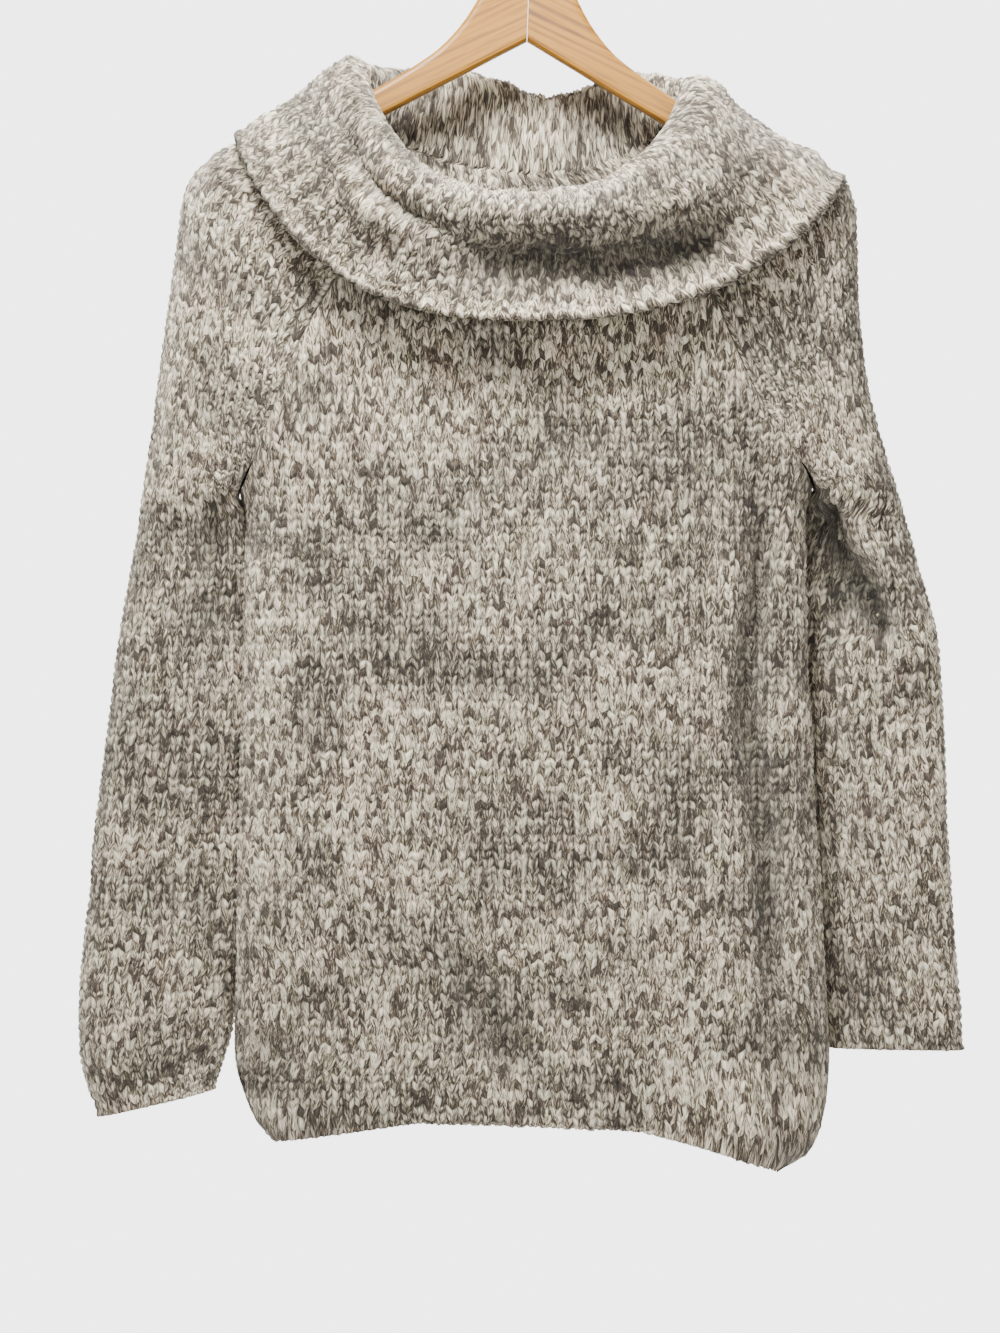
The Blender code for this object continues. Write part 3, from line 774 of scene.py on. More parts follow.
@dataclass
class KnitPiece:
    """One knitted piece: a relief of stitches outside and a plainer purl side inside.

    Attributes:
        name: Name of the piece.
        node: CAD node that it replaces.
        gauge: The knit's gauge.
        garment: The form.
        seed: Seed of its unevenness.
        creases: Creases that cross it.
        samples: Intervals sampled across it.
        per_row: Levels sampled for each interval of the tables.
        weld: Distance in millimetres within which points are joined.
        turns: Shares of the wall's thickness by which the edge is turned in, one after another.
        painted_turn_shade: Share of the stored relief that each turn keeps, so that the finish paints shade
            on the turned edge.
        purl_gap: How much less than the wall's thickness the purl side lies in.
    """

    name: str
    node: str
    gauge: Gauge
    garment: Garment
    seed: int
    creases: tuple = ()
    samples: int = 160
    per_row: int = 20
    weld: float = 0.02
    turns: tuple = (0.252, 0.648)
    # Painted shade on the turned edges, through the stored relief.
    painted_turn_shade: float = 0.6
    purl_gap: float = 0.4

    def lattice(self) -> tuple:
        """Points and normals of the cloth at each quarter stitch, without relief.

        Returns:
            Grid with a point, a normal and a crease height in each place, the heights of seams,
            hems and edges, and which rows close on themselves.
        """
        raise NotImplementedError

    def build(self, finish: bpy.types.Material, inside: bpy.types.Material) -> list:
        """Make the piece and its purl side.

        Args:
            finish: Material of the knit side.
            inside: Material of the purl side.

        Returns:
            The two objects.
        """
        grid, trim, closed = self.lattice()
        self._close(grid, closed)
        spans = np.cross(np.diff(grid[:-1, :, :3], axis=1), np.diff(grid[:, :-1, :3], axis=0))
        area = np.linalg.norm(spans, axis=2).sum() * MM * MM
        log.info("%s: %.4f square metres of cloth", self.name, area)
        return [self._knit_side(grid, trim, closed, finish), self._purl_side(grid, inside)]

    @staticmethod
    def _close(grid: np.ndarray, closed: np.ndarray) -> None:
        """Bring the two ends of each closed row together.

        Args:
            grid: Grid to change.
            closed: Which rows close on themselves.
        """
        grid[closed, 0] = grid[closed, -1] = (grid[closed, 0] + grid[closed, -1]) / 2

    def _courses(self, grid: np.ndarray, line: np.ndarray) -> np.ndarray:
        """Space a grid's rows evenly, with a whole number of stitches along a line.

        Args:
            grid: Rows by columns by numbers.
            line: Points of a line that runs up it, one for each row.

        Returns:
            The grid with evenly spaced rows.
        """
        return even_rows(grid, line, self.gauge.row_step, len(self.gauge.along))

    def _rise(self, grid: np.ndarray) -> np.ndarray:
        """Distance of each row from the first one.

        Args:
            grid: The evenly spaced grid.

        Returns:
            One distance for each row, as a column.
        """
        return np.arange(len(grid))[:, None] * self.gauge.row_step

    def _knit_side(
        self, grid: np.ndarray, trim: tuple, closed: np.ndarray, finish: bpy.types.Material,
    ) -> bpy.types.Object:
        """Raise the stitches on the cloth.

        Args:
            grid: The cloth.
            trim: Height to add at seams and edges, and how much relief they take away.
            closed: Which rows close on themselves.
            finish: Material.

        Returns:
            The object.
        """
        gauge = self.gauge
        rows, columns = shape = grid.shape[:2]
        height = gauge.relief(shape, self.seed)
        keep = np.clip(1 - trim[1], 0.0, 1.0)
        droop = np.array(gauge.droop)[np.arange(columns) % len(gauge.droop)]
        level = np.clip(np.arange(rows)[:, None] - droop[None, :], 0, rows - 1)
        surface = grid[level, np.arange(columns)[None, :]]
        points = surface[..., :3] + surface[..., 3:6] * (height * keep + trim[0])[..., None]
        side = np.gradient(surface[..., :3], axis=1)
        side /= np.maximum(np.linalg.norm(side, axis=2, keepdims=True), 1e-6)
        inside = np.zeros(shape)
        inside[2:-2, 2:-2] = 1.0
        sway = gauge.straying(shape, self.seed) * (keep * inside)[..., None]
        points = points + side * sway[..., :1]
        points[..., 2] += sway[..., 1]
        self._close(points, closed)
        # The relief from 0 to 1, stored for the finish's painted shade in the gaps between stitches.
        depth = (height - height.min()) / (height.max() - height.min())
        return self._mesh(self.name, points, surface[..., 3:6], depth, surface[..., 6], finish, rim=True)

    def _purl_side(self, grid: np.ndarray, finish: bpy.types.Material) -> bpy.types.Object:
        """Make the inner side, with one face for each stitch.

        Args:
            grid: The cloth.
            finish: Material.

        Returns:
            The object.
        """
        coarse = grid[::len(self.gauge.along), ::len(self.gauge.across)][:, ::-1]
        points = coarse[..., :3] - coarse[..., 3:6] * (self.garment.wall - self.purl_gap)
        shape = points.shape[:2]
        # The purl side stores a middle relief of 0.5, which the painted gap shade turns into an even
        # darkening to about 0.69.
        return self._mesh(
            self.name + "_purl_side", points, -coarse[..., 3:6], np.full(shape, 0.5),
            np.zeros(shape), finish, rim=False,
        )

    def _mesh(
        self, name: str, points: np.ndarray, normals: np.ndarray, depth: np.ndarray,
        fold: np.ndarray, finish: bpy.types.Material, rim: bool,
    ) -> bpy.types.Object:
        """A grid mesh moved to the given points, welded, with its stitch coordinates.

        Args:
            name: Name of the object.
            points: Grid of points in millimetres.
            normals: Outward normals.
            depth: Height of the relief, 0 to 1, stored for the finish's painted shade in the gaps between
                stitches.
            fold: Height of the creases in millimetres, stored for the finish's painted crease shade and
                painted highlight.
            finish: Material.
            rim: Whether the edges are turned inwards by the wall's thickness.

        Returns:
            The object.
        """
        rows, columns = points.shape[:2]
        shape = bmesh.new()
        shape.loops.layers.uv.new("stitch")
        bmesh.ops.create_grid(shape, x_segments=columns - 1, y_segments=rows - 1, size=1.0)
        mesh = bpy.data.meshes.new(name)
        shape.to_mesh(mesh)
        shape.free()
        flat = np.empty(len(mesh.vertices) * 3)
        mesh.vertices.foreach_get("co", flat)
        flat = flat.reshape(-1, 3)
        column = np.rint((flat[:, 0] + 1) / 2 * (columns - 1)).astype(int)
        row = np.rint((flat[:, 1] + 1) / 2 * (rows - 1)).astype(int)
        placed = (points[row, column] + np.array((self.garment.joint_x, 0.0, 0.0))) * MM
        mesh.vertices.foreach_set("co", placed.ravel())
        corner = np.empty(len(mesh.loops), dtype=int)
        mesh.loops.foreach_get("vertex_index", corner)
        per_stitch = (len(self.gauge.across), len(self.gauge.along)) if rim else (1, 1)
        places = np.stack([column[corner], row[corner]], axis=1) / np.array(per_stitch)
        mesh.uv_layers["stitch"].data.foreach_set("uv", places.astype(np.float32).ravel())
        # Stored relief and crease height drive the finish's painted shade and painted highlight.
        for key, values in (("lift", depth[row, column]), ("fold", fold[row, column])):
            layer = mesh.attributes.new(key, "FLOAT", "POINT")
            layer.data.foreach_set("value", values.astype(np.float32))
        inward = mesh.attributes.new("inward", "FLOAT_VECTOR", "POINT")
        inward.data.foreach_set("vector", (-normals[row, column]).astype(np.float32).ravel())
        shape = bmesh.new()
        shape.from_mesh(mesh)
        bmesh.ops.remove_doubles(shape, verts=shape.verts, dist=self.weld * MM)
        bmesh.ops.dissolve_degenerate(shape, edges=shape.edges, dist=self.weld * MM)
        if rim:
            self._turn_edges(shape)
        shape.to_mesh(mesh)
        shape.free()
        mesh.attributes.remove(mesh.attributes["inward"])
        mesh.shade_smooth()
        mesh.materials.append(finish)
        made = bpy.data.objects.new(name, mesh)
        bpy.context.scene.collection.objects.link(made)
        return made

    def _turn_edges(self, shape: bmesh.types.BMesh) -> None:
        """Turn the open edges inwards, so that the cloth shows its thickness, and lower their stored relief
        for painted shade.

        Args:
            shape: The mesh.
        """
        inward = shape.verts.layers.float_vector["inward"]
        lift = shape.verts.layers.float["lift"]
        edge = [e for e in shape.edges if e.is_boundary]
        for share in self.turns:
            made = bmesh.ops.extrude_edge_only(shape, edges=edge)["geom"]
            edge = [item for item in made if isinstance(item, bmesh.types.BMEdge) and item.is_boundary]
            for vert in [item for item in made if isinstance(item, bmesh.types.BMVert)]:
                vert.co += vert[inward] * self.garment.wall * MM * share
                # Painted shade: each turn keeps less of the stored relief, so the finish darkens the turned
                # edge.
                vert[lift] *= self.painted_turn_shade


@dataclass
class BodyPanel(KnitPiece):
    """The front or the back, with vertical wales cut off by the raglan seams."""

    facing: Facing = Facing.FRONT
    seam_start: float = 30.0
    least_seam: float = 0.15

    def lattice(self) -> tuple:
        """See KnitPiece.lattice.

        Returns:
            Grid, trim heights and which rows close.
        """
        gauge = self.gauge
        points = self.garment.panel(self.facing, self.per_row, crowded(self.samples))
        if self.facing is Facing.BACK:
            points = points[:, ::-1]
        cloth = Cloth.creased(points, self.creases)
        rows = self._courses(cloth.both(), cloth.points[:, self.samples // 2])
        lengths = run_lengths(rows[..., :3])
        joint = np.array([
            np.interp(0.0, np.sort(row[:, 0]), length[np.argsort(row[:, 0])])
            for row, length in zip(rows, lengths)
        ])
        reach = max((lengths[:, -1] - joint).max(), joint.max())
        steps = math.ceil(reach / gauge.wale) * len(gauge.across)
        wanted = joint[:, None] + np.arange(-steps, steps + 1)[None, :] * gauge.wale_step
        wanted = np.clip(wanted, EDGE_INSET, lengths[:, -1:] - EDGE_INSET)
        grid = respaced(rows, lengths, wanted)
        near = np.minimum(wanted, lengths[:, -1:] - wanted)
        up = self._rise(grid)
        above = grid[:, :1, 2] - self.garment.yoke_left[0][1]
        depth = np.clip(above / self.seam_start, self.least_seam, 1.0)
        trim = Trim().heights(near, up, np.full_like(up, FAR), depth)
        return grid, trim, np.zeros(len(grid), bool)


@dataclass
class Sleeve(KnitPiece):
    """A raglan sleeve: a tube from cuff to armpit, and a cap between its two seams."""

    side: Side = Side.LEFT
    wales: int = 15
    samples: int = 80

    def lattice(self) -> tuple:
        """See KnitPiece.lattice.

        Returns:
            Grid, trim heights and which rows close.
        """
        front, back, tube = self.garment.sleeve(self.side, self.per_row, crowded(self.samples))
        points = np.concatenate([front, back[:, -2::-1]], axis=1)
        if self.side is Side.LEFT:
            points = points[:, ::-1]
        cloth = Cloth.creased(points, self.creases)
        ridge = self.samples
        line = (cloth.points[:, ridge] + cloth.points[:, ridge // 2]) / 2
        number = np.broadcast_to(np.arange(len(points))[:, None, None], points.shape[:2] + (1,))
        rows = self._courses(np.concatenate([cloth.both(), number], axis=2), line)
        closed = rows[:, 0, 7] <= tube - 1
        rows = rows[..., :7]
        lengths = run_lengths(rows[..., :3])
        centre = lengths[:, ridge]
        columns = self.wales * len(self.gauge.across)
        share = np.arange(1, columns + 1) / columns
        inset = np.where(closed, 0.0, EDGE_INSET)[:, None]
        reach = []
        for room in (centre, lengths[:, -1] - centre):
            pitch = room.copy()
            pitch[~closed] = np.maximum.accumulate(room[~closed])
            pitch[~closed] = np.maximum(pitch[~closed], room[closed][-1])
            reach.append(np.minimum(pitch[:, None] * share, room[:, None] - inset))
        centre = centre[:, None]
        wanted = np.concatenate([centre - reach[0][:, ::-1], centre, centre + reach[1]], axis=1)
        grid = respaced(rows, lengths, wanted)
        near = np.minimum(wanted, lengths[:, -1:] - wanted) + FAR * closed[:, None]
        up = self._rise(grid)
        return grid, Trim().heights(near, up, np.full_like(up, FAR)), closed


@dataclass
class Collar(KnitPiece):
    """The cowl: a tube of knit that stands at the neck, rolls out and lies on the shoulders."""

    wales: int = 104
    samples: int = 60
    per_row: int = 16

    def lattice(self) -> tuple:
        """See KnitPiece.lattice.

        Returns:
            Grid, trim heights and which rows close.
        """
        points = self.garment.collar_rings(self.per_row, self.samples)
        wide = np.concatenate([points[:, -2:-1], points, points[:, 1:2]], axis=1)
        cloth = Cloth.creased(wide, self.creases, -1.0)
        points = (cloth.points + cloth.normals * self.garment.wall / 2)[:, 1:-1]
        both = np.concatenate([points, cloth.both()[:, 1:-1, 3:]], axis=2)
        line = np.zeros((len(points), 3))
        line[1:, 0] = np.cumsum(np.linalg.norm(np.diff(points, axis=0), axis=2).mean(axis=1))
        rows = self._courses(both, line)
        lengths = run_lengths(rows[..., :3])
        columns = self.wales * len(self.gauge.across)
        share = np.arange(columns + 1) / columns
        grid = respaced(rows, lengths, lengths[:, -1:] * share[None, :])[:, ::-1]
        up = self._rise(grid)
        near = np.full(grid.shape[:2], FAR)
        return grid, Trim(hem=0.0).heights(near, up, up[-1] - up), np.ones(len(grid), bool)




@dataclass(frozen=True)
class Trim:
    """What the seams and edges add to the cloth's height, in millimetres.

    Attributes:
        seam: Height at a seam.
        seam_width: Distance over which it fades.
        seam_smooths: Share of the stitch relief that a seam takes away.
        hem: Height at the first row.
        hem_width: Distance over which it fades.
        rope: Height of the bound-off edge.
        rope_width: Its width.
        rope_smooths: Share of the stitch relief that it takes away.
    """

    seam: float = -2.0
    seam_width: float = 3.2
    seam_smooths: float = 0.75
    hem: float = 0.9
    hem_width: float = 4.0
    rope: float = 3.2
    rope_width: float = 7.0
    rope_smooths: float = 0.6

    def heights(
        self, near: np.ndarray, up: np.ndarray, down: np.ndarray, depth: np.ndarray | float = 1.0,
    ) -> tuple:
        """Heights of seams, hem and bound-off edge.

        Args:
            near: Distance from the nearest seam.
            up: Distance from the first row.
            down: Distance from a bound-off last row.
            depth: Share of the seam's depth in each row.

        Returns:
            Height to add, and how much of the stitch relief it takes away.
        """
        seam = np.exp(-(near / self.seam_width) ** 2)
        hem = self.hem * np.exp(-(up / self.hem_width) ** 2)
        half = self.rope_width / 2
        rope = np.clip(1 - (np.abs(down - half) / half) ** 2, 0, 1)
        height = self.seam * depth * seam + hem + self.rope * np.sqrt(rope)
        return height, self.seam_smooths * seam + self.rope_smooths * np.clip(rope * 2, 0, 1)


class Nodes:
    """Short calls that add shader nodes to one material or world."""

    def __init__(self, tree: bpy.types.NodeTree) -> None:
        """Start on an empty tree.

        Args:
            tree: The tree to fill.
        """
        self.tree = tree
        tree.nodes.clear()

    def fill(self, node: bpy.types.Node, inputs: dict) -> None:
        """Fill inputs of a node.

        Args:
            node: The node.
            inputs: Input name or number to a value, or to an output to join it to.
        """
        for key, value in inputs.items():
            if isinstance(value, bpy.types.NodeSocket):
                self.tree.links.new(value, node.inputs[key])
            else:
                node.inputs[key].default_value = value

    def add(self, kind: str, inputs: dict | None = None, **settings: str) -> bpy.types.Node:
        """Add a node.

        Args:
            kind: Its type name without "ShaderNode".
            inputs: What fill gets.
            settings: Properties to set on it.

        Returns:
            The node.
        """
        node = self.tree.nodes.new("ShaderNode" + kind)
        for key, value in settings.items():
            setattr(node, key, value)
        self.fill(node, inputs or {})
        return node

    def get(self, kind: str, inputs: dict | None = None, **settings: str) -> bpy.types.NodeSocket:
        """Add a node for its first output.

        Args:
            kind: Its type name without "ShaderNode".
            inputs: What fill gets.
            settings: Properties to set on it.

        Returns:
            Its first output.
        """
        return self.add(kind, inputs, **settings).outputs[0]

    def math(self, operation: str, first: Value, second: Value = 0.0) -> bpy.types.NodeSocket:
        """Add a math node.

        Args:
            operation: Blender's name of it.
            first: Value or output.
            second: Value or output.

        Returns:
            Its output.
        """
        return self.get("Math", {0: first, 1: second}, operation=operation)

    def times(self, value: Value, factor: Value, plus: Value = 0.0) -> bpy.types.NodeSocket:
        """Multiply, and add something to the product.

        Args:
            value: Value or output.
            factor: Value or output.
            plus: Value or output to add.

        Returns:
            The result.
        """
        return self.get("Math", {0: value, 1: factor, 2: plus}, operation="MULTIPLY_ADD")

    def join(self, x: Value, y: Value, z: Value = 0.0) -> bpy.types.NodeSocket:
        """Make a vector of three values.

        Args:
            x: Value or output.
            y: Value or output.
            z: Value or output.

        Returns:
            The vector output.
        """
        return self.get("CombineXYZ", {0: x, 1: y, 2: z})

    def stretched(self, vector: Value, scale: tuple) -> bpy.types.NodeSocket:
        """Scale coordinates.

        Args:
            vector: Coordinates.
            scale: Factor along each axis.

        Returns:
            The vector output.
        """
        return self.get("Mapping", {"Vector": vector, "Scale": scale})

    def noise(
        self, vector: Value, scale: float, detail: float = 2.0, roughness: float = 0.5,
    ) -> bpy.types.NodeSocket:
        """Add a noise texture.

        Args:
            vector: Coordinates.
            scale: Scale.
            detail: Octaves.
            roughness: Strength of the finer octaves.

        Returns:
            Its grey output.
        """
        return self.get("TexNoise", {
            "Vector": vector, "Scale": scale, "Detail": detail, "Roughness": roughness,
        })

    def spread(self, value: Value, seen: tuple, wanted: tuple, **settings: str) -> bpy.types.NodeSocket:
        """Map a range of values to another one.

        Args:
            value: Value or output.
            seen: First and last value that come in.
            wanted: First and last value that go out.
            settings: Properties to set on the node.

        Returns:
            The mapped value.
        """
        return self.get("MapRange", dict(enumerate((value, *seen, *wanted))), **settings)

    def stored(self, name: str) -> bpy.types.NodeSocket:
        """Read a value stored on the mesh.

        Args:
            name: Name of the attribute.

        Returns:
            Its value.
        """
        return self.add("Attribute", attribute_name=name).outputs["Fac"]

    def ramp(self, value: Value, stops: tuple) -> bpy.types.NodeSocket:
        """Add a colour ramp.

        Args:
            value: Value or output to read it at.
            stops: Pairs of place and colour.

        Returns:
            Its colour output.
        """
        node = self.add("ValToRGB", {0: value})
        ramp = node.color_ramp
        while len(ramp.elements) < len(stops):
            ramp.elements.new(0.5)
        for element, (place, colour) in zip(ramp.elements, stops):
            element.position = place
            element.color = (*colour, 1.0)
        return node.outputs[0]

    def mix(self, share: Value, first: Value, second: Value, blend: str = "MIX") -> bpy.types.NodeSocket:
        """Mix two colours.

        Args:
            share: Share of the second.
            first: Colour or output.
            second: Colour or output.
            blend: Blend type.

        Returns:
            The colour output.
        """
        first, second = ((*c, 1.0) if isinstance(c, tuple) else c for c in (first, second))
        node = self.add("Mix", {0: share, 6: first, 7: second}, data_type="RGBA", blend_type=blend)
        return node.outputs[2]

    def grey(self, value: Value) -> bpy.types.NodeSocket:
        """Turn a value into a grey colour.

        Args:
            value: Value or output.

        Returns:
            The colour output.
        """
        return self.get("CombineColor", {0: value, 1: value, 2: value})


@dataclass(frozen=True)
class Finish:
    """A material with a name; subclasses say how it looks."""

    name: str

    def make(self) -> bpy.types.Material:
        """Make the material.

        Returns:
            The material.
        """
        made = bpy.data.materials.new(self.name)
        made.use_nodes = True
        nodes = Nodes(made.node_tree)
        shader = nodes.add("BsdfPrincipled")
        nodes.add("OutputMaterial", {0: shader.outputs[0]})
        self.dress(nodes, shader)
        return made

    def dress(self, nodes: Nodes, shader: bpy.types.Node) -> None:
        """Fill the shader's inputs.

        Args:
            nodes: The material's nodes.
            shader: Its Principled shader.
        """
        raise NotImplementedError


@dataclass(frozen=True)
class MarlKnit(Finish):
    """Cream yarn plied with dark strands, read along the legs of the stitches, with painted shade in stitch
    gaps and creases and a painted highlight on crease ridges.

    Attributes:
        colours: Places on the scale of tones, and the colours there.
        level: Tone added to all of it.
        shares: How much the strand, the leg, the run of yarn and the patch say.
        tints: Places on the scale of warmth, and the tints there.
        tint_share: How strong the tints are.
        painted_gap_shade: Heights of the relief, and how light the yarn is painted there: painted shade,
            darkest in the gaps between stitches.
        painted_crease_shade: Heights of the creases, and how light the cloth is painted there: painted shade
            in the troughs and a painted highlight on the ridges.
        purl: Whether this is the inner side, with bars across.
    """

    colours: tuple = (
        (0.39, (0.030, 0.021, 0.014)),
        (0.45, (0.085, 0.060, 0.039)),
        (0.50, (0.25, 0.205, 0.145)),
        (0.55, (0.60, 0.525, 0.385)),
        (0.65, (0.90, 0.81, 0.62)),
    )
    level: float = -0.165
    shares: tuple = (0.78, 0.39, 0.07, 0.09)
    tints: tuple = ((0.30, (0.97, 1.00, 0.93)), (0.5, (1.0, 1.0, 1.0)), (0.70, (1.03, 0.96, 0.95)))
    tint_share: float = 0.8
    # Painted shade: the low parts of the stitch relief darken to 0.12 of the colour.
    painted_gap_shade: tuple = ((0.20, 0.66), (0.12, 1.0))
    # Painted shade in crease troughs, down to 0.24 at 16 mm deep, and a painted highlight on ridges, up to
    # 1.12.
    painted_crease_shade: tuple = ((-16.0, 4.0), (0.24, 1.12))
    purl: bool = False

    def dress(self, nodes: Nodes, shader: bpy.types.Node) -> None:
        """See Finish.dress.

        Args:
            nodes: The material's nodes.
            shader: Its Principled shader.
        """
        stitch = nodes.add("SeparateXYZ", {0: nodes.get("UVMap", uv_map="stitch")})
        wale, row = stitch.outputs[0], stitch.outputs[1]
        place = nodes.add("TexCoord").outputs["Object"]
        leg = nodes.math("FLOOR", nodes.times(wale, 2.0))
        course = nodes.math("FLOOR", row)
        side = nodes.math("PINGPONG", wale, 0.5)
        slant = nodes.times(side, 5.0, nodes.times(row, 1.6))
        strand = nodes.join(nodes.times(wale, 5.0), slant, nodes.times(course, 3.1))
        # The strand runs along a leg, and the others tell legs, runs of yarn and patches apart.
        tone = self.level
        for share, layer in zip(self.shares, (
            nodes.noise(strand, 1.0, 3.0, 0.62),
            nodes.noise(nodes.join(nodes.times(leg, 5.31), nodes.times(course, 9.17)), 1.0, 0.0),
            nodes.noise(nodes.join(nodes.times(wale, 0.42), nodes.times(course, 2.37)), 1.0, 1.0),
            nodes.noise(place, 34.0, 2.0),
        )):
            tone = nodes.times(layer, share, tone)
        tint = nodes.ramp(nodes.noise(place, 45.0, 2.0), self.tints)
        colour = nodes.mix(self.tint_share, nodes.ramp(tone, self.colours), tint, "MULTIPLY")
        # Painted shade and painted highlight, multiplied into the colour by stored relief and crease height.
        painted_gap_shade = nodes.spread(nodes.stored("lift"), *self.painted_gap_shade)
        # Painted shade and highlight from the stored crease height.
        painted_crease_shade = nodes.spread(nodes.stored("fold"), *self.painted_crease_shade)
        colour = nodes.mix(1.0, colour, nodes.grey(nodes.times(painted_gap_shade, painted_crease_shade)), "MULTIPLY")
        fibre = nodes.noise(nodes.join(
            nodes.times(wale, 30.0), nodes.times(side, 26.0, nodes.times(row, 9.0)), course,
        ), 1.0, 3.0, 0.7)
        if self.purl:
            bars = nodes.math("SINE", nodes.times(row, 4 * math.pi))
            arcs = nodes.math("SINE", nodes.times(wale, 2 * math.pi))
            fibre = nodes.times(nodes.times(bars, nodes.math("ADD", arcs, 1.6)), 0.8, fibre)
        nodes.fill(shader, {
            "Base Color": colour,
            "Normal": nodes.get("Bump", {"Height": fibre, "Strength": 0.75, "Distance": 0.0011}),
            "Roughness": 0.95,
            "Specular IOR Level": 0.15,
            "Sheen Weight": 0.25,
            "Sheen Roughness": 0.6,
            "Sheen Tint": (0.95, 0.90, 0.80, 1.0),
        })


@dataclass(frozen=True)
class Wood(Finish):
    """Pale varnished wood with its grain along one arm of the hanger."""

    slope: float = 0.0
    light: tuple = (0.30, 0.132, 0.005)
    middle: tuple = (0.23, 0.094, 0.003)
    dark: tuple = (0.10, 0.036, 0.001)

    def dress(self, nodes: Nodes, shader: bpy.types.Node) -> None:
        """See Finish.dress.

        Args:
            nodes: The material's nodes.
            shader: Its Principled shader.
        """
        place = nodes.add("TexCoord").outputs["Object"]
        turned = nodes.get("Mapping", {"Vector": place, "Rotation": (0.0, self.slope, 0.0)})
        grain = nodes.noise(nodes.stretched(turned, (7.0, 70.0, 95.0)), 1.0, 5.0, 0.6)
        pores = nodes.noise(nodes.stretched(turned, (28.0, 420.0, 520.0)), 1.0, 2.0)
        rings = nodes.add("TexWave", {
            "Vector": nodes.stretched(turned, (1.6, 26.0, 34.0)),
            "Scale": 1.6, "Distortion": 5.0, "Detail": 3.0, "Detail Scale": 1.2,
        }, bands_direction="Z").outputs["Fac"]
        colour = nodes.ramp(nodes.times(rings, 0.28, nodes.times(grain, 0.85)), (
            (0.28, self.dark), (0.45, self.middle), (0.62, self.light), (0.85, self.middle),
        ))
        height = nodes.math("ADD", grain, pores)
        nodes.fill(shader, {
            "Base Color": nodes.mix(nodes.spread(pores, (0.56, 0.70), (0.0, 0.45)), colour, self.dark),
            "Normal": nodes.get("Bump", {"Height": height, "Strength": 0.25, "Distance": 0.0006}),
            "Roughness": nodes.spread(grain, (0.3, 0.7), (0.50, 0.36)),
            "Coat Weight": 0.25,
            "Coat Roughness": 0.3,
        })


@dataclass(frozen=True)
class Metal(Finish):
    """Drawn steel wire with faint fine wear."""

    colour: tuple = (0.60, 0.60, 0.61)

    def dress(self, nodes: Nodes, shader: bpy.types.Node) -> None:
        """See Finish.dress.

        Args:
            nodes: The material's nodes.
            shader: Its Principled shader.
        """
        wear = nodes.noise(nodes.add("TexCoord").outputs["Object"], 260.0, 3.0)
        nodes.fill(shader, {
            "Base Color": nodes.mix(wear, self.colour, tuple(0.8 * c for c in self.colour)),
            "Roughness": nodes.spread(wear, (0.3, 0.7), (0.20, 0.36)),
            "Normal": nodes.get("Bump", {"Height": wear, "Strength": 0.08, "Distance": 0.0003}),
            "Metallic": 1.0,
        })


@dataclass(frozen=True)
class Plain(Finish):
    """A plain pale surface for the floor."""

    colour: tuple = (0.74, 0.74, 0.74)

    def dress(self, nodes: Nodes, shader: bpy.types.Node) -> None:
        """See Finish.dress.

        Args:
            nodes: The material's nodes.
            shader: Its Principled shader.
        """
        nodes.fill(shader, {"Base Color": (*self.colour, 1.0), "Roughness": 0.8})


@dataclass(frozen=True)
class Lamp:
    """One soft square lamp.

    Attributes:
        name: Its name.
        at: Where it stands.
        aim: What it points at.
        size: Side of its square.
        power: Watts.
    """

    name: str
    at: tuple
    aim: tuple
    size: float
    power: float

    def build(self) -> None:
        """Hang the lamp."""
        lamp = bpy.data.lights.new(self.name, "AREA")
        lamp.size = self.size
        lamp.energy = self.power
        made = bpy.data.objects.new(self.name, lamp)
        made.location = self.at
        made.rotation_euler = (Vector(self.aim) - Vector(self.at)).to_track_quat("-Z", "Y").to_euler()
        bpy.context.scene.collection.objects.link(made)


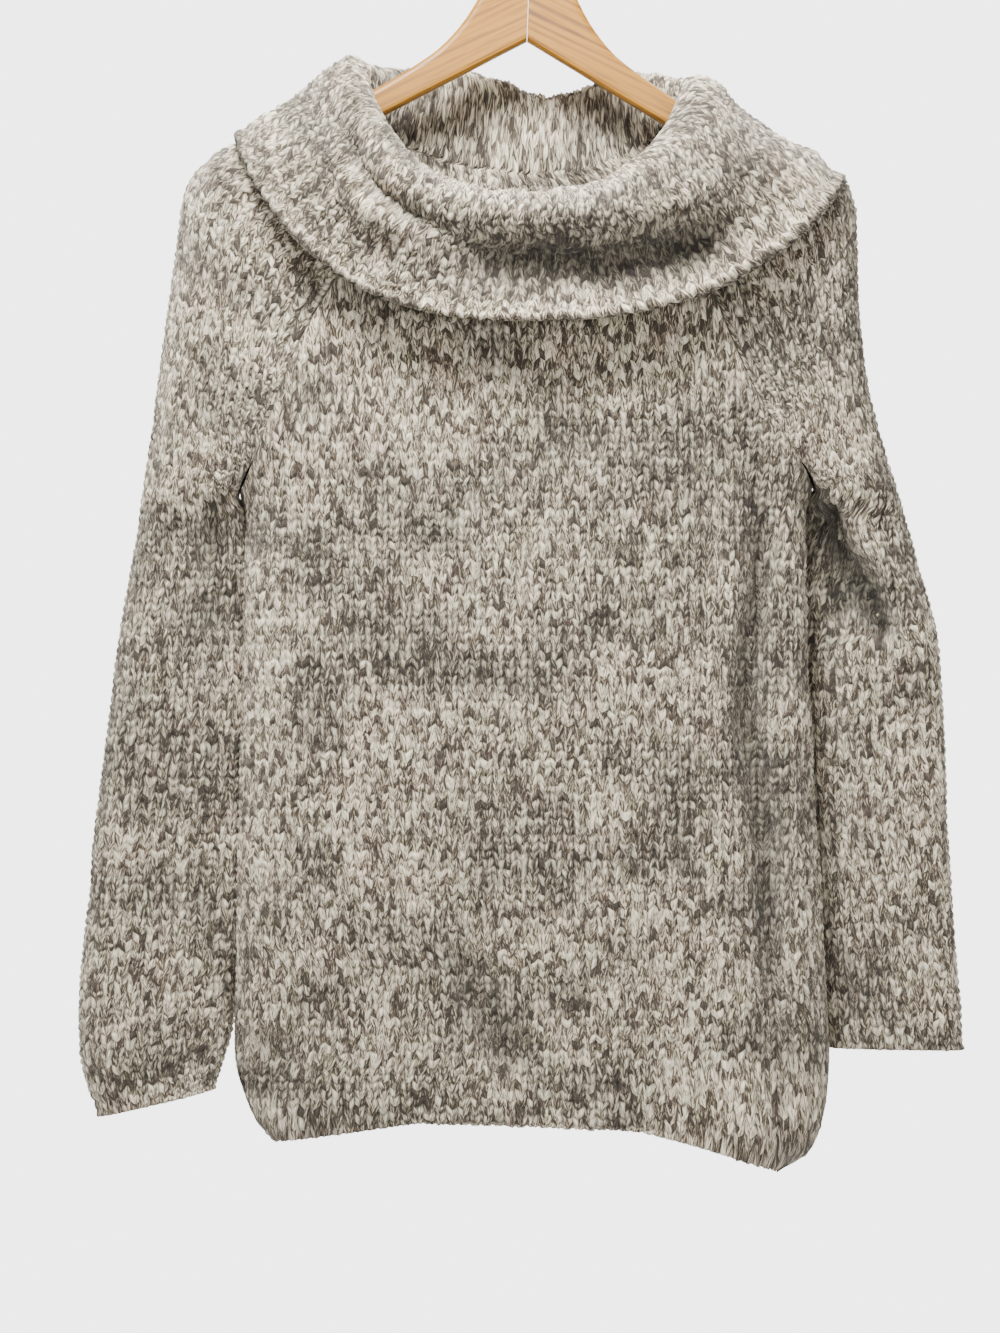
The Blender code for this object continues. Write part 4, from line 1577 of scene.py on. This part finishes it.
@dataclass
class Studio:
    """Floor, light and camera.

    Attributes:
        floor_z: Height of the floor.
        floor_size: Side of the floor.
        camera_at: Place of the camera, which looks along y.
        view_height: What it sees from top to bottom at the garment.
        horizon: Strength of the backdrop's light at the height of the eye.
        sky: Strength of its light above and below.
        band: How far up and down the backdrop starts and ends to fade.
        lamps: The lamps.
    """

    floor_z: float = -1.42
    floor_size: float = 3.0
    camera_at: tuple = (-0.0236, -2.6, -0.573)
    view_height: float = 0.9331
    horizon: float = 4.2
    sky: float = 0.16
    band: tuple = (0.185, 0.22)
    lamps: tuple = (
        Lamp("key", (-0.20, -0.58, 0.60), (0.0, 0.0, -0.18), 0.36, 62.0),
        Lamp("fill", (-1.5, -1.3, 0.5), (0.0, 0.0, -0.6), 1.0, 4.0),
        Lamp("back", (0.35, 0.85, 0.80), (0.0, 0.0, -0.35), 0.5, 50.0),
    )

    def build(self) -> None:
        """Set up the stage."""
        self._floor()
        self._backdrop()
        for lamp in self.lamps:
            lamp.build()
        self._camera()

    def _floor(self) -> None:
        """Lay the floor."""
        shape = bmesh.new()
        bmesh.ops.create_grid(shape, x_segments=1, y_segments=1, size=self.floor_size / 2)
        bmesh.ops.translate(shape, verts=shape.verts, vec=(0.0, 0.0, self.floor_z))
        mesh = bpy.data.meshes.new("floor")
        shape.to_mesh(mesh)
        shape.free()
        mesh.materials.append(Plain("floor_pale").make())
        floor = bpy.data.objects.new("floor", mesh)
        bpy.context.scene.collection.objects.link(floor)

    def _backdrop(self) -> None:
        """Light the backdrop round the horizon."""
        world = bpy.data.worlds.new("studio")
        world.use_nodes = True
        nodes = Nodes(world.node_tree)
        way = nodes.add("SeparateXYZ", {0: nodes.add("TexCoord").outputs["Generated"]}).outputs[2]
        light = nodes.spread(
            nodes.math("ABSOLUTE", way), self.band, (self.horizon, self.sky), interpolation_type="SMOOTHSTEP",
        )
        sky = nodes.get("Background", {0: (1.0, 1.0, 1.0, 1.0), 1: light})
        nodes.add("OutputWorld", {0: sky})
        bpy.context.scene.world = world

    def _camera(self) -> None:
        """Put the camera where the photograph was taken from."""
        camera = bpy.data.cameras.new("camera")
        camera.sensor_fit = "VERTICAL"
        camera.angle = 2 * math.atan(self.view_height / 2 / abs(self.camera_at[1]))
        made = bpy.data.objects.new("camera", camera)
        made.location = self.camera_at
        made.rotation_euler = (math.pi / 2, 0.0, 0.0)
        bpy.context.scene.collection.objects.link(made)
        bpy.context.scene.camera = made


FRONT_CREASES = (
    Crease(((152.6, -407), (166.6, -484), (152.6, -589), (159.6, -645), (166.6, -701),
            (173.6, -806), (177, -876)), -14, 11),
    Crease(((184, -430), (188, -560), (184, -700), (190, -850)), 4, 8),
    Crease(((132, -440), (142, -540), (130, -680), (142, -820)), 3.5, 12),
    Crease(((-50, -757), (-33, -806), (2, -869)), -11, 15),
    Crease(((-186, -882), (-178, -820)), -7, 26),
    Crease(((149, -905), (146, -850)), 3, 22),
    Crease(((-120, -420), (-128, -560), (-116, -700)), 2, 26),
    Crease(((20, -520), (40, -640), (34, -760)), 1.8, 34),
)
BACK_CREASES = (
    Crease(((-148, -410), (-160, -520), (-150, -640), (-162, -760), (-168, -860)),
           -4.5, 13.0, 1),
    Crease(((160, -430), (170, -560), (160, -700), (168, -840)), -3.5, 12, 1),
    Crease(((40, -740), (22, -800), (-12, -866)), -3.5, 17, 1),
    Crease(((90, -520), (104, -640), (96, -760)), 2, 30, 1),
)
LEFT_CREASES = (
    Crease(((-214, -462), (-219, -500), (-216, -560)), -7, 12),
    Crease(((-201, -456), (-197.5, -520), (-198.5, -640), (-203, -790)), 5, 9, 0, 0.02),
    Crease(((-240, -470), (-247, -560), (-252, -660)), 2.5, 14),
    Crease(((-262, -600), (-272, -700), (-276, -790)), -2.5, 13),
    Crease(((-232, -700), (-240, -780), (-246, -850)), 2, 14),
    Crease(((-214, -462), (-222, -510), (-226, -570)), -4, 13, 1),
    Crease(((-256, -560), (-264, -660), (-268, -760)), 2.5, 16, 1),
)
RIGHT_CREASES = (
    Crease(((206, -446), (231, -478), (248, -500), (262, -526)), 8, 8.5),
    Crease(((203, -456), (215, -490), (236, -526), (252, -560)), -18, 9, -1, 0.12),
    Crease(((201, -462), (206, -500), (222, -545)), -13, 12, -1, 0.12),
    Crease(((224, -530), (228, -580), (232, -640)), 3, 10),
    Crease(((266, -560), (274, -600), (280, -645)), -3.5, 8),
    Crease(((275, -730), (276, -775)), -3, 9),
    Crease(((222, -790), (223, -826)), -3.5, 8),
    Crease(((200, -452), (193, -500), (191.5, -560), (196, -700)), 5, 9, 0, 0.02),
    Crease(((204, -462), (232, -505), (250, -560)), -4.5, 12, 1),
    Crease(((236, -600), (244, -680), (250, -760)), 2.5, 16, 1),
)
COLLAR_CREASES = (
    Crease(((-123, -200), (-114, -226), (-106, -241), (-91, -256), (-61, -274)),
           -12.0, 7.5, -1),
    Crease(((-136, -200), (-125, -234), (-114, -256), (-99, -264), (-76, -287)),
           7.5, 8.0, -1),
    Crease(((-203, -186), (-213, -204)), -7, 9, 0, 0.02),
    Crease(((213, -214), (221, -232)), -7, 9, 0, 0.02),
    Crease(((52, -222), (50, -234)), -5, 5, 1),
    Crease(((96, -250), (120, -262), (150, -262)), 2.5, 12, -1),
    Crease(((-78, -272), (-20, -296), (50, -300), (118, -284), (160, -256)),
           -18.0, 20.0, -1),
    Crease(((-70, -258), (0, -264), (80, -262), (130, -240)), 2.5, 8, -1),
    Crease(((-140, -288), (-70, -322), (10, -332), (80, -326), (150, -300)),
           4.0, 9.0, -1),
    Crease(((-60, -190), (-70, -240)), -3, 10, 1),
)


@dataclass
class Sweater:
    """The whole garment and the finishes of its hanger."""

    garment: Garment = field(default_factory=Garment)
    gauge: Gauge = field(default_factory=Gauge)

    def pieces(self) -> list:
        """The knitted pieces with what each says about its cut.
        """
        made = dict(gauge=self.gauge, garment=self.garment)
        arms = ["hanger_arm_left", "hanger_arm_right"]
        return [
            (BodyPanel("knit_front", "front", seed=11, facing=Facing.FRONT, creases=FRONT_CREASES, **made),
             dict(flat=(0.47, 0.66), area=0.262, rests_on=arms)),
            (BodyPanel("knit_back", "back", seed=23, facing=Facing.BACK, creases=BACK_CREASES, **made),
             dict(flat=(0.47, 0.69), area=0.272, rests_on=arms)),
            (Sleeve("knit_sleeve_left", "sleeve_left", seed=37, side=Side.LEFT,
                    creases=LEFT_CREASES, **made),
             dict(flat=(0.26, 0.76), area=0.168, rests_on=arms[:1])),
            (Sleeve("knit_sleeve_right", "sleeve_right", seed=53, side=Side.RIGHT,
                    creases=RIGHT_CREASES, **made),
             dict(flat=(0.26, 0.72), area=0.154, rests_on=arms[1:])),
            (Collar("knit_cowl_collar", "cowl_collar", seed=71, creases=COLLAR_CREASES, **made),
             dict(flat=(0.80, 0.20), area=0.150, rests_on=["knit_front", "knit_back"])),
        ]

    def build(self) -> None:
        """Make every piece, dress it, and log its triangle count."""
        knit = MarlKnit("marl_knit_face").make()
        purl = MarlKnit("marl_knit_purl_side", purl=True).make()
        for piece, cut in self.pieces():
            outer, inner = piece.build(knit, purl)
            for item in (outer, inner):
                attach(item, "root")
            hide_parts(piece.node)
            triangles = sum(len(face.vertices) - 2 for face in outer.data.polygons)
            faces = len(inner.data.polygons)
            log.info("%s: %d triangles, purl side %d faces", outer.name, triangles, faces)
        slope = math.atan(self.garment.arm_slope)
        for side in Side:
            node = "hanger_arm_" + side.name.lower()
            wood = Wood("pale_wood_" + side.name.lower(), slope=-side.value * slope)
            self._dress(node, wood.make())
        self._dress("hanger_hook", Metal("steel_wire").make())

    def _dress(self, node: str, finish: bpy.types.Material) -> None:
        """Give a shown CAD node its finish.

        Args:
            node: Name of the node.
            finish: Its material.
        """
        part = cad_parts[node]
        part.data.materials.clear()
        part.data.materials.append(finish)
        log.info("%s: %s", node, finish.name)


def main() -> None:
    """Build the sweater and its studio."""
    logging.basicConfig(level=logging.INFO, format="%(name)s: %(message)s")
    Sweater().build()
    Studio().build()


if __name__ == "__main__":
    main()
